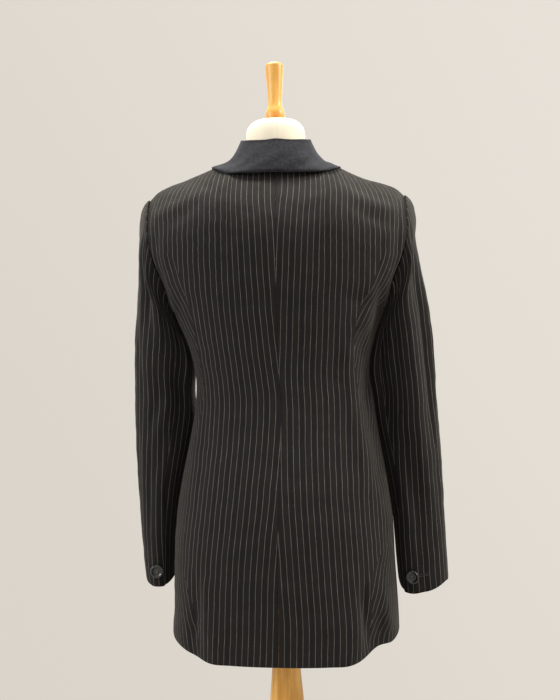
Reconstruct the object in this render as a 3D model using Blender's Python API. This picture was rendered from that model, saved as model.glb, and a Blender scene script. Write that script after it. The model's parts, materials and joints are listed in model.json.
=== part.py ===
"""A women's long pinstripe blazer on a limbless dress form with a turned stand.

Metres, +Z up. The wearer's back faces -Y, the front faces +Y, and the left side is -X.
The origin is on the floor, under the middle of the whole model.
Every panel of cloth is a wall between an outer grid of points and an inner one.
"""
import bmesh
import bpy
import numpy as np
from mathutils import Vector
from mathutils.bvhtree import BVHTree

# Driving dimensions of the cloth
CLOTH = 0.0020            # thickness of a panel
SEAM = 0.0003             # gap that touching pieces keep
HEM_BACK = 0.7145         # height of the hem at the centre back
HEM_RISE = 0.0150         # how much higher the hem is at the side seams
UNDERARM = 1.2650         # height of the underarm point
SHOULDER_TIP = 1.4550     # height of the top of the armhole
TIP_OUT = 0.2140          # half of the width from shoulder tip to shoulder tip
NAPE = 1.4870             # height of the neck seam at the centre back
NECK_POINT = 1.5145       # height where the neck seam meets the shoulder seam
FRONT_DROP = 0.0500       # how much lower the form's neck is in front
NECK_HALF = 0.0750        # half of the width between the two neck points
NAPE_DEPTH = 0.0720       # how far behind the axis the nape is
NECK_SEAT = 0.0100        # how far behind the axis the neck points are
ARMHOLE_DEPTH = 0.0620    # how far the armhole bows back and forward
TWIST_TOP = 1.5           # degrees that the body is turned on the form at the shoulder blades
TWIST_HEM = 5.6           # degrees that it is turned at the hem

# Front edge, lapels and closure
BREAK = 1.2100            # height where the lapels turn back
OVERLAP = 0.0200          # how far each front reaches past the centre
GORGE = 0.68              # row of the front on which collar and lapel meet
LAPEL_WIDTH = 0.0800      # widest part of the lapel
BUTTON_RADIUS = 0.0110
BUTTON_THICK = 0.0038
FRONT_BUTTONS = (1.185, 1.085, 0.985)

# Sleeves
CUFF_INNER = 0.8200       # height of the cuff next to the body
BUTTON_UP = 0.0260        # from the cuff to the middle of its button
SLEEVE_PRESSED = 0.20     # how much flatter than an ellipse the sleeve's section is

# Form and stand
FORM_BOTTOM = 0.8000
NECK_RADIUS = 0.0498
NECK_TOP = 1.5755         # seat of the plate, inside the rim of the neck
NECK_RIM = 1.5792         # height of that rim

# Sections of the body: height, half width, depth behind the axis, depth in front, shift to +X
BODY_COLUMNS = ("z", "half", "back", "front", "shift")
BODY = np.array([
    (0.700, 0.1905, 0.1340, 0.1290, 0.000),
    (0.776, 0.1870, 0.1350, 0.1290, 0.002),
    (0.844, 0.1845, 0.1360, 0.1290, 0.001),
    (0.928, 0.1800, 0.1350, 0.1250, 0.002),
    (0.982, 0.1720, 0.1280, 0.1170, 0.003),
    (1.058, 0.1575, 0.1110, 0.1040, 0.005),
    (1.114, 0.1490, 0.1010, 0.0990, 0.006),
    (1.160, 0.1455, 0.1000, 0.1040, 0.003),
    (1.223, 0.1600, 0.1080, 0.1220, 0.001),
    (1.265, 0.1770, 0.1140, 0.1310, 0.000),
    (1.304, 0.1860, 0.1200, 0.1280, 0.000),
    (1.342, 0.2005, 0.1240, 0.1180, 0.000),
    (1.380, 0.2095, 0.1250, 0.1050, 0.000),
    (1.410, 0.2125, 0.1200, 0.0920, 0.000),
    (1.455, 0.2140, 0.0980, 0.0710, 0.000),
    (1.487, 0.2145, 0.0720, 0.0570, 0.000),
    (1.520, 0.2145, 0.0600, 0.0500, 0.000),
])

# Top of the shoulder: half width, height
SHOULDER_COLUMNS = ("x", "z")
SHOULDER = np.array([
    (0.0750, 1.5145),
    (0.0980, 1.5060),
    (0.1180, 1.4975),
    (0.1490, 1.4865),
    (0.1800, 1.4765),
    (0.2000, 1.4668),
    (0.2140, 1.4550),
])

# Outer line of the sleeves: height, half width on the left and on the right
OUTER_COLUMNS = ("z", "left", "right")
OUTER = np.array([
    (0.790, 0.2325, 0.2740),
    (0.850, 0.2396, 0.2722),
    (0.907, 0.2446, 0.2700),
    (0.984, 0.2476, 0.2678),
    (1.052, 0.2491, 0.2652),
    (1.119, 0.2494, 0.2612),
    (1.220, 0.2462, 0.2552),
    (1.287, 0.2394, 0.2478),
    (1.330, 0.2364, 0.2400),
    (1.378, 0.2350, 0.2322),
    (1.425, 0.2322, 0.2325),
    (1.441, 0.2280, 0.2285),
    (1.450, 0.2222, 0.2225),
    (1.455, 0.2150, 0.2150),
])

# Each sleeve along its length: share of the length, clearance from the body, half depth,
# middle to +Y, and the angle of the seam at the back of the arm in degrees
SLEEVE_COLUMNS = ("w", "clear", "depth", "middle", "seam")
SLEEVE_LEFT = np.array([
    (0.00, 0.0012, 0.0620, 0.000, 125.0),
    (0.10, 0.0030, 0.0630, 0.000, 122.0),
    (0.28, 0.0040, 0.0610, 0.012, 118.0),
    (0.39, 0.0136, 0.0600, 0.021, 115.0),
    (0.52, 0.0026, 0.0590, 0.024, 112.0),
    (0.75, 0.0020, 0.0570, 0.022, 108.0),
    (1.00, 0.0040, 0.0540, 0.016, 105.0),
])
SLEEVE_RIGHT = np.array([
    (0.00, 0.0012, 0.0620, 0.000, 125.0),
    (0.10, 0.0016, 0.0630, 0.002, 126.0),
    (0.20, 0.0010, 0.0622, 0.010, 128.0),
    (0.28, 0.0010, 0.0610, 0.016, 129.0),
    (0.39, 0.0020, 0.0590, 0.022, 131.0),
    (0.52, 0.0010, 0.0560, 0.024, 132.0),
    (0.75, 0.0014, 0.0500, 0.022, 129.0),
    (1.00, 0.0040, 0.0460, 0.012, 124.0),
])
FRONT_SEAM = -120.0       # degrees, seam at the front of the arm

# Where grid lines lie
BACK_COLUMNS = np.array([0.0, 0.12, 0.21, 0.28, 0.333, 0.3505, 0.45, 0.56, 0.66, 0.75, 0.83, 0.90, 0.955, 0.986, 1.0])
NECK_COLUMN = 5           # the column that ends at the neck point
BODY_ROWS = np.concatenate([np.linspace(-1.0, 0.0, 13), np.linspace(0.0, 1.0, 12)[1:]])
SLEEVE_ROWS = np.array([0.0, 0.012, 0.035, 0.075, 0.13, 0.2, 0.28, 0.36, 0.44, 0.52, 0.6, 0.68, 0.76, 0.84, 0.92, 1.0])


def smooth(table, columns, name, at):
    """A column of a table as a smooth curve: cubic pieces whose slopes are those of the neighbours' chords."""
    x = table[:, 0]
    y = table[:, columns.index(name)]
    at = np.clip(np.asarray(at, float), x[0], x[-1])
    slope = np.gradient(y, x)
    i = np.clip(np.searchsorted(x, at, side="right") - 1, 0, len(x) - 2)
    h = x[i + 1] - x[i]
    t = (at - x[i]) / h
    return (
        y[i] * (1 + 2 * t) * (1 - t) ** 2
        + slope[i] * h * t * (1 - t) ** 2
        + y[i + 1] * t * t * (3 - 2 * t)
        - slope[i + 1] * h * t * t * (1 - t)
    )


def step(low, high, value):
    """0 below low, 1 above high, with a smooth rise between."""
    t = np.clip((np.asarray(value, float) - low) / (high - low), 0, 1)
    return t * t * (3 - 2 * t)


def bell(value, middle, width):
    """A soft hump of height 1 round middle."""
    return np.exp(-((np.asarray(value, float) - middle) / width) ** 2)


def turn(points):
    """The hang of the cloth: sections shift sideways and turn a few degrees about the form's axis."""
    p = np.array(points, float)
    z = p[..., 2]
    share = np.clip((1.40 - z) / (1.40 - HEM_BACK), 0, 1)
    angle = np.radians(TWIST_TOP * step(1.50, 1.40, z) + (TWIST_HEM - TWIST_TOP) * share)
    own = p[..., 0]
    x = own * np.cos(angle) + p[..., 1] * np.sin(angle)
    y = -own * np.sin(angle) + p[..., 1] * np.cos(angle)
    low_shoulder = 0.0045 * bell(own, 0.145, 0.05) * step(1.30, 1.47, z)
    high_hem = 0.010 * bell(own, 0.158, 0.026) - 0.003 * step(0.172, 0.188, own)
    high_hem = (high_hem + 0.005 * step(0.115, 0.165, -own)) * step(0.80, 0.72, z)
    return np.stack([x + smooth(BODY, BODY_COLUMNS, "shift", z), y, z - low_shoulder + high_hem], axis=-1)


def row_lift(v):
    """Rows above the underarm lie close together at both ends."""
    return (1 - np.cos(np.pi * np.clip(v, 0, 1))) / 2


def edge_height(v):
    """Height of a row where it meets the side seam or the armhole."""
    low = HEM_BACK + HEM_RISE + (UNDERARM - HEM_BACK - HEM_RISE) * (v + 1)
    high = UNDERARM + (SHOULDER_TIP - UNDERARM) * row_lift(v)
    return np.where(v < 0, low, high)


def top_height(x, open_front, drop):
    """Height of the neckline and of the shoulder seam at a half width."""
    x = np.abs(x)
    shoulder = smooth(SHOULDER, SHOULDER_COLUMNS, "z", x)
    inside = np.clip(1 - x / NECK_HALF, 0, 1)
    if open_front:
        return shoulder + 0.3 * NECK_HALF * inside
    neck = NECK_POINT - drop * np.sqrt(np.clip(1 - (x / NECK_HALF) ** 2, 0, 1))
    return np.where(x < NECK_HALF, neck, shoulder)


def body(s, v, front, open_front=True):
    """Outer face of the body. s runs from the centre line (0) to the side (1), v from the hem (-1)
    through the underarm (0) to the shoulder (1). Each section is a rounded square whose depth
    shrinks towards the shoulder, where the cloth rolls over the top."""
    s, v = np.broadcast_arrays(np.asarray(s, float), np.asarray(v, float))
    reach = np.minimum(np.abs(s), 1)
    half = smooth(BODY, BODY_COLUMNS, "half", edge_height(v))
    x = s * half
    lift = row_lift(v)
    hem = HEM_BACK + HEM_RISE * reach ** 4
    top = top_height(x, front and open_front, FRONT_DROP if front else NECK_POINT - NAPE)
    z = np.where(v < 0, hem + (UNDERARM - hem) * (v + 1), UNDERARM + (top - UNDERARM) * lift)
    centre_top = NECK_POINT - FRONT_DROP if front else NAPE
    centre_z = np.where(v < 0, HEM_BACK + (UNDERARM - HEM_BACK) * (v + 1),
                        UNDERARM + (centre_top - UNDERARM) * lift)
    depth = smooth(BODY, BODY_COLUMNS, "front" if front else "back", centre_z)
    bow = np.sin(np.pi * np.clip(v, 0, 1))
    edge = ARMHOLE_DEPTH * bow * (1 - step(1.0, 0.86, reach) * (1 - step(0.0, 0.30, v)))
    power = 1 / (2.2 - 1.0 * step(0.0, 0.55, v))
    square = 2.5 + 0.5 * step(0.95, 0.75, centre_z)
    y = edge + (depth - edge) * (1 - reach ** square) ** power
    roll = 1 - np.sqrt(np.clip(1 - lift ** 5, 0, 1))
    neck = np.sqrt(np.clip(1 - (np.minimum(np.abs(x), NECK_HALF) / NECK_HALF) ** 2, 0, 1))
    rise = step(NECK_HALF, TIP_OUT, np.abs(x))
    if front:
        seat = -NECK_SEAT * (1 - rise) + (0 if open_front else NAPE_DEPTH * neck)
        y = (1 - roll) * y + roll * seat
    else:
        seat = NECK_SEAT * (1 - rise) + (NAPE_DEPTH - NECK_SEAT) * neck
        y = -((1 - roll) * y + roll * seat)
    return np.stack([x, y, z], axis=-1)


def drape(points):
    """The largest folds of the body, as soft ridges and troughs across its depth."""
    p = np.array(points, float)
    x, y, z = p[..., 0], p[..., 1], p[..., 2]
    behind = step(0.0, -0.05, y)
    ridge = 0.118 + 0.020 * step(1.12, 1.00, z) + 0.06 * step(1.20, 1.30, z)
    along = step(0.94, 1.02, z) * step(1.30, 1.20, z)
    push = 0.007 * bell(x, ridge - 0.006, 0.014) - 0.008 * bell(x, ridge + 0.016, 0.011)
    push = push * along
    hem_fold = step(0.82, 0.74, z)
    push = push + hem_fold * (0.006 * bell(x, 0.106, 0.018) - 0.016 * bell(x, 0.150, 0.017))
    push = push + hem_fold * (0.005 * bell(x, -0.100, 0.018) - 0.006 * bell(x, -0.132, 0.015))
    drag = bell(x + 0.62 * (z - 1.16), -0.150, 0.014) * step(1.14, 1.20, z) * step(1.33, 1.26, z)
    push = push - 0.003 * drag
    p[..., 1] = y - behind * push
    return p


def normals(grid):
    """Unit normals of a grid of points, from the differences along its rows and columns."""
    along = np.gradient(grid, axis=1)
    up = np.gradient(grid, axis=0)
    n = np.cross(along, up)
    return n / np.maximum(np.linalg.norm(n, axis=-1, keepdims=True), 1e-12)


def pull_in(grid, side, distance):
    """Moves one border of a grid towards its inside, so that a seam keeps its gap."""
    g = grid.copy()
    first = {"left": (slice(None), 0), "right": (slice(None), -1), "bottom": (0,), "top": (-1,)}[side]
    second = {"left": (slice(None), 1), "right": (slice(None), -2), "bottom": (1,), "top": (-2,)}[side]
    way = g[second] - g[first]
    size = np.linalg.norm(way, axis=-1, keepdims=True)
    g[first] = g[first] + way / np.maximum(size, 1e-9) * np.minimum(distance, 0.5 * size)
    return g


def material(name, colour, roughness, metallic=0.0):
    m = bpy.data.materials.new(name)
    m.use_nodes = True
    shader = m.node_tree.nodes["Principled BSDF"]
    shader.inputs["Base Color"].default_value = (*colour, 1.0)
    shader.inputs["Roughness"].default_value = roughness
    shader.inputs["Metallic"].default_value = metallic
    m.diffuse_color = (*colour, 1.0)
    return m


def add_object(name, points, faces, look):
    """One object from points and faces, with its doubles merged and its faces turned outwards."""
    mesh = bpy.data.meshes.new(name)
    mesh.from_pydata([tuple(map(float, p)) for p in points], [], faces)
    work = bmesh.new()
    work.from_mesh(mesh)
    bmesh.ops.remove_doubles(work, verts=work.verts, dist=0.00002)
    bmesh.ops.recalc_face_normals(work, faces=work.faces)
    if work.calc_volume(signed=True) < 0:
        bmesh.ops.reverse_faces(work, faces=work.faces)
    work.to_mesh(mesh)
    work.free()
    mesh.shade_smooth()
    mesh.materials.append(look)
    piece = bpy.data.objects.new(name, mesh)
    bpy.context.scene.collection.objects.link(piece)
    return piece


def wall(name, outer, inner, look):
    """A closed wall between two grids of the same size: two faces and the rim round them."""
    rows, columns = outer.shape[:2]
    index = np.arange(rows * columns).reshape(rows, columns)
    back = index + rows * columns
    faces = []
    for layer, order in ((index, 1), (back, -1)):
        low = np.stack([layer[:-1, :-1], layer[:-1, 1:], layer[1:, 1:]], -1).reshape(-1, 3)
        high = np.stack([layer[:-1, :-1], layer[1:, 1:], layer[1:, :-1]], -1).reshape(-1, 3)
        faces += low[:, ::order].tolist() + high[:, ::order].tolist()
    border = np.concatenate([index[0, :-1], index[:-1, -1], index[-1, :0:-1], index[:0:-1, 0]])
    after = np.roll(border, -1)
    offset = rows * columns
    faces += np.stack([after, border, border + offset, after + offset], -1).tolist()
    points = np.concatenate([outer.reshape(-1, 3), inner.reshape(-1, 3)])
    return add_object(name, points, faces, look)


def turned(name, profile, centre, look, segments=28):
    """A solid of revolution about a vertical line: profile lists (radius, height), closed on the axis."""
    angle = np.linspace(0, 2 * np.pi, segments, endpoint=False)
    rings = [np.stack([centre[0] + r * np.cos(angle), centre[1] + r * np.sin(angle),
                       np.full(segments, centre[2] + z)], -1) for r, z in profile if r > 0]
    points = np.concatenate(rings + [np.array([[centre[0], centre[1], centre[2] + profile[0][1]],
                                               [centre[0], centre[1], centre[2] + profile[-1][1]]])])
    n = np.arange(segments)
    m = (n + 1) % segments
    faces = []
    for k in range(len(rings) - 1):
        low, high = k * segments, (k + 1) * segments
        faces += np.stack([low + n, low + m, high + m, high + n], -1).tolist()
    bottom, top = len(points) - 2, len(points) - 1
    last = (len(rings) - 1) * segments
    faces += [(bottom, int(b), int(a)) for a, b in zip(n, m)]
    faces += [(top, int(last + a), int(last + b)) for a, b in zip(n, m)]
    return add_object(name, points, faces, look)


def outward(grid, n):
    """Turns the normals of a grid away from the form's axis."""
    middle = np.zeros_like(grid)
    middle[..., 2] = np.minimum(grid[..., 2], 1.30)
    return n if np.sum(n * (grid - middle)) > 0 else -n


def seam_normals(grid, n, v):
    """Normals at the side seam and the shoulder seam, the same for both of the pieces that meet there."""
    n = n.copy()
    side = np.sign(grid[v.shape[0] // 3, -1, 0])
    below = v[:, -1] <= 0.0
    n[below, -1] = (side, 0.0, 0.0)
    x = np.clip(np.abs(grid[-1, :, 0]), NECK_HALF, TIP_OUT)
    reach = 0.002
    high = smooth(SHOULDER, SHOULDER_COLUMNS, "z", x - reach)
    low = smooth(SHOULDER, SHOULDER_COLUMNS, "z", x + reach)
    top = np.stack([(high - low) * side, np.zeros_like(x), np.full_like(x, 2 * reach)], -1)
    top /= np.linalg.norm(top, axis=-1, keepdims=True)
    on_shoulder = np.abs(grid[-1, :, 0]) > NECK_HALF - 0.002
    n[-1, on_shoulder] = top[on_shoulder]
    share = np.clip(np.abs(grid[-1, :, 0]) / NECK_HALF, 0, 1)[:, None]
    neck = grid[-1] * np.array([1.0, 1.0, 0.0])
    neck /= np.linalg.norm(neck, axis=-1, keepdims=True)
    neck = neck * (1 - 0.8 * share ** 2) + np.array([0.0, 0.0, 1.0]) * (0.3 + share ** 2)
    neck /= np.linalg.norm(neck, axis=-1, keepdims=True)
    n[-1, ~on_shoulder] = neck[~on_shoulder]
    return n


def mirrored(points, side):
    """The same points on the right (1) or on the left (-1)."""
    p = np.array(points, float)
    p[..., 0] *= side
    return p


def roll_line(v):
    """Half width of the front edge at a row: straight below the break, then up to the neck point."""
    x = np.full_like(v, -OVERLAP)
    for _ in range(4):
        half = smooth(BODY, BODY_COLUMNS, "half", edge_height(v))
        z = body(x / half, v, front=True)[..., 2]
        share = np.clip((z - BREAK) / (NECK_POINT - BREAK), 0, 1)
        x = -OVERLAP + (NECK_HALF + OVERLAP) * share ** 0.92
    return x


def front_face(s, v, side, lift=0.0):
    """Points and normals of a front panel, moved out by lift. The left one passes under the right."""
    p = mirrored(body(s, v, front=True), side)
    own = p[..., 0] * side
    under = (CLOTH + 2 * SEAM) * step(0.060, 0.030, own) * (side < 0)
    n = outward(p, normals(p))
    p = p - n * under[..., None]
    return p + n * lift, n


def back_panel(side):
    s, v = np.meshgrid(BACK_COLUMNS, BODY_ROWS)
    outer = drape(mirrored(body(s, v, front=False), side))
    n = seam_normals(outer, outward(outer, normals(outer)), v)
    n[:, 0, 0] = 0.0
    inner = outer - CLOTH * n
    grids = []
    for g in (outer, inner):
        g = turn(g)
        g = pull_in(g, "left", SEAM * 0.8)
        g = pull_in(g, "right", SEAM * 0.7)
        grids.append(pull_in(g, "top", SEAM * 0.7))
    return grids


def front_panel(side):
    first = BACK_COLUMNS[NECK_COLUMN]
    share = (BACK_COLUMNS[NECK_COLUMN:] - first) / (1 - first)
    t, v = np.meshgrid(share, BODY_ROWS)
    half = smooth(BODY, BODY_COLUMNS, "half", edge_height(v))
    start = roll_line(BODY_ROWS)[:, None] / half
    s = start + (1 - start) * t
    outer, n = front_face(s, v, side)
    n = seam_normals(outer, n, v)
    inner = outer - CLOTH * n
    grids = []
    for g in (outer, inner):
        g = turn(g)
        g = pull_in(g, "right", SEAM * 0.7)
        grids.append(pull_in(g, "top", SEAM * 0.7))
    return grids


def lapel(side):
    """The turned part of a front: from the roll line out to a pointed edge, under the gorge."""
    start = -0.06
    first = 0.0 if side > 0 else 0.24
    u, w = np.meshgrid(np.linspace(0, 1, 7), np.linspace(first, 1, 11))
    v = start + (GORGE - start) * w - 0.05 * u * w
    wide = LAPEL_WIDTH * np.sin(np.pi / 2 * np.clip(w * 1.12, 0, 1)) ** 0.8 + 0.004
    x = roll_line(v) + 0.0015 + u * wide
    s = x / smooth(BODY, BODY_COLUMNS, "half", edge_height(v))
    inner, n = front_face(s, v, side, lift=3 * SEAM)
    rise = (0.0025 * np.sin(np.pi * u) + 0.001 * u)[..., None]
    inner = inner + n * rise
    outer = inner + n * CLOTH * 0.9
    return [turn(outer), turn(inner)]


def sleeve_face(theta, w, side, table):
    """Outer face of a sleeve. theta is 0 on the outer line, 90 degrees at the back, 180 by the body;
    w runs from the armhole to the cuff. A ring spans the outer and the inner line of the sleeve."""
    clear = smooth(table, SLEEVE_COLUMNS, "clear", w)
    depth = smooth(table, SLEEVE_COLUMNS, "depth", w)
    middle = smooth(table, SLEEVE_COLUMNS, "middle", w)
    seam = np.radians(smooth(table, SLEEVE_COLUMNS, "seam", w))
    cuff_outer = 0.815 if side > 0 else 0.820
    z_out = SHOULDER_TIP - (SHOULDER_TIP - cuff_outer) * w
    z_in = UNDERARM - (UNDERARM - CUFF_INNER) * w ** 1.3
    x_out = smooth(OUTER, OUTER_COLUMNS, "right" if side > 0 else "left", z_out)
    x_out = x_out - side * smooth(BODY, BODY_COLUMNS, "shift", z_out)
    x_in = smooth(BODY, BODY_COLUMNS, "half", z_in) + clear
    cos, sin = np.cos(theta), np.sin(theta)
    pressed = SLEEVE_PRESSED * step(0.12, 0.38, w)
    flat_cos = np.sign(cos) * np.abs(cos) ** (1 - pressed)
    flat_sin = np.sign(sin) * np.abs(sin) ** (1 - pressed)
    x = (x_out + x_in) / 2 + (x_out - x_in) / 2 * flat_cos
    z = (z_out + z_in) / 2 + (z_out - z_in) / 2 * cos
    dip = 0.021 if side > 0 else 0.011
    z = z - dip * step(0.80, 1.0, w) * np.maximum(np.cos(theta - seam), 0) ** 1.5
    y = middle - depth * flat_sin
    start = 1 - step(0.0, 0.22, w)
    hole_z = UNDERARM + (SHOULDER_TIP - UNDERARM) * (1 + cos) / 2
    hole_x = smooth(BODY, BODY_COLUMNS, "half", hole_z) + 2 * SEAM + w * 0.09
    x = x + start * (hole_x - x) * (np.abs(sin) ** 0.7)
    crease = 0.0016 * np.sin(2 * theta + 3.0 * w) * step(0.15, 0.4, w) * step(1.0, 0.8, w)
    x = x + crease * cos
    y = y - crease * sin
    return np.stack([x * side, y, z], -1)


def sleeve_normals(theta, w, side, table, reach=0.01):
    """Normals of the sleeve's face, from small steps round the arm and along it."""
    low, high = np.maximum(w - reach, 0), np.minimum(w + reach, 1)
    round_arm = sleeve_face(theta + 4 * reach, w, side, table) - sleeve_face(theta - 4 * reach, w, side, table)
    along_arm = sleeve_face(theta, high, side, table) - sleeve_face(theta, low, side, table)
    n = np.cross(round_arm, along_arm) * side
    return n / np.maximum(np.linalg.norm(n, axis=-1, keepdims=True), 1e-12)


def sleeve_panel(side, upper):
    """The upper sleeve laps over the under sleeve at the cuff's vent."""
    table = SLEEVE_RIGHT if side > 0 else SLEEVE_LEFT
    seam = smooth(table, SLEEVE_COLUMNS, "seam", SLEEVE_ROWS)[:, None]
    vent = step(0.75, 0.85, SLEEVE_ROWS)[:, None]
    open_up = step(0.64, 0.77, SLEEVE_ROWS)[:, None]
    w = SLEEVE_ROWS[:, None] + np.zeros((1, 1))
    if upper:
        share = np.array([0, 0.1, 0.21, 0.32, 0.43, 0.54, 0.65, 0.75, 0.84, 0.91, 0.96, 1.0])[None, :]
        end = seam + 13.0 * vent
        degrees = FRONT_SEAM + (end - FRONT_SEAM) * share
        lift = 0.0034 * open_up * step(-34.0, -12.0, degrees - seam)
    else:
        share = np.linspace(0, 1, 8)[None, :]
        degrees = seam + (360 + FRONT_SEAM - seam) * share
        lift = -0.0006 * open_up * step(30.0, 5.0, degrees - seam)
    theta = np.radians(degrees)
    w = w + np.zeros_like(theta)
    face = sleeve_face(theta, w, side, table)
    n = sleeve_normals(theta, w, side, table)
    mouth = np.stack([np.zeros_like(theta[0]), -np.sin(theta[0]), np.cos(theta[0])], -1)
    n[0] = mouth
    outer = face + n * lift[..., None]
    inner = outer - CLOTH * n
    grids = []
    for g in (outer, inner):
        g = pull_in(turn(g), "left", SEAM * 1.5)
        grids.append(pull_in(g, "right", SEAM * 1.5))
    return grids


# The collar at its stations, from the centre back (0) through the neck point (0.5) to the gorge (1):
# how far the stand leans in and how high it is, the free edge of the fall, and where between
# the fold and that edge the fall bends, as shares of the way out and of the way down
COLLAR_COLUMNS = ("t", "lean", "stand", "edge_x", "edge_y", "edge_z", "knee_out", "knee_down")
COLLAR = np.array([
    (0.00, 0.0100, 0.0490, 0.0000, -0.0850, 1.4800, 0.58, 0.50),
    (0.12, 0.0120, 0.0465, 0.0400, -0.0815, 1.4800, 0.56, 0.50),
    (0.25, 0.0140, 0.0435, 0.0810, -0.0675, 1.4845, 0.48, 0.60),
    (0.37, 0.0160, 0.0385, 0.1030, -0.0385, 1.4985, 0.44, 0.72),
    (0.50, 0.0170, 0.0325, 0.1085, 0.0010, 1.5055, 0.40, 0.80),
    (0.65, 0.0120, 0.0240, 0.1130, 0.0300, 1.4960, 0.44, 0.66),
    (0.80, 0.0070, 0.0170, 0.1160, 0.0560, 1.4760, 0.44, 0.58),
    (1.00, 0.0030, 0.0080, 0.1150, 0.0840, 1.4440, 0.50, 0.50),
])
COLLAR_WALL = 0.0018
COLLAR_BEND = 1.7         # how sharply the fall bends, 1 is a plain parabola
FOLD_RADIUS = 0.0015
STATIONS = np.linspace(-1, 1, 25)


def neck_seam(t):
    """Where the collar's stand sits: round the back neckline, then down the roll line to the gorge."""
    side = np.where(t < 0, -1.0, 1.0)
    a = np.abs(t)
    x = NECK_HALF * np.sin(np.pi / 2 * np.clip(a / 0.5, 0, 1))
    behind = body(x / TIP_OUT, 1.0, front=False)
    v = 1 - (1 - GORGE) * np.clip((a - 0.5) / 0.5, 0, 1)
    half = smooth(BODY, BODY_COLUMNS, "half", edge_height(v))
    before = body(roll_line(v) / half, v, front=True)
    p = np.where((a <= 0.5)[:, None], behind, before)
    inward = -p * np.array([1.0, 1.0, 0.0])
    inward /= np.linalg.norm(inward, axis=-1, keepdims=True)
    p = p + inward * 0.0012
    p[:, 2] += 0.0009
    p[:, 0] *= side
    return p


def collar():
    """Stand and fall as one folded wall: up from the neck seam, over a tight fold, down to the edge."""
    a = np.abs(STATIONS)
    side = np.where(STATIONS < 0, -1.0, 1.0)

    def column(which):
        return smooth(COLLAR, COLLAR_COLUMNS, which, a)

    seat = neck_seam(STATIONS)
    inward = -seat * np.array([1.0, 1.0, 0.0])
    inward /= np.linalg.norm(inward, axis=-1, keepdims=True)
    fold = seat + inward * column("lean")[:, None]
    fold[:, 2] += column("stand")
    edge = np.stack([column("edge_x") * side, column("edge_y"), column("edge_z")], -1)
    out = (edge - seat) * np.array([1.0, 1.0, 0.0])
    out /= np.linalg.norm(out, axis=-1, keepdims=True)
    along = np.gradient(fold, axis=0)
    along /= np.linalg.norm(along, axis=-1, keepdims=True)
    up = np.array([0.0, 0.0, 1.0]) - along * along[:, 2:3]
    up /= np.linalg.norm(up, axis=-1, keepdims=True)
    out = out - along * np.sum(out * along, axis=-1, keepdims=True)
    out /= np.linalg.norm(out, axis=-1, keepdims=True)
    rows = []
    for share in np.linspace(0, 1, 4)[:-1]:
        rows.append(seat + (fold - out * FOLD_RADIUS - seat) * share)
    for angle in np.radians((180, 130, 90, 50, 0)):
        rise = up * FOLD_RADIUS * np.sin(angle)
        rows.append(fold + out * FOLD_RADIUS * np.cos(angle) + rise)
    start = fold + out * FOLD_RADIUS
    flat = np.array([1.0, 1.0, 0.0])
    way = edge - start
    knee = start + way * flat * column("knee_out")[:, None] + way * (1 - flat) * column("knee_down")[:, None]
    for t in np.linspace(0, 1, 8)[1:]:
        bend = COLLAR_BEND * 2 * t * (1 - t)
        rows.append((start * (1 - t) ** 2 + knee * bend + edge * t * t) / ((1 - t) ** 2 + bend + t * t))
    middle = np.stack(rows)
    n = normals(middle)
    sign = 1.0 if np.sum(n[-2] * out) > 0 else -1.0
    half = n * sign * COLLAR_WALL / 2
    return [turn(middle + half), turn(middle - half)]


EASE_COLUMNS = ("v", "ease")
EASE = np.array([
    (-1.00, 0.022),
    (-0.60, 0.016),
    (-0.20, 0.008),
    (0.10, 0.009),
    (0.50, 0.010),
    (0.78, 0.005),
    (0.92, 0.0004),
    (1.00, 0.0000),
])


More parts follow.
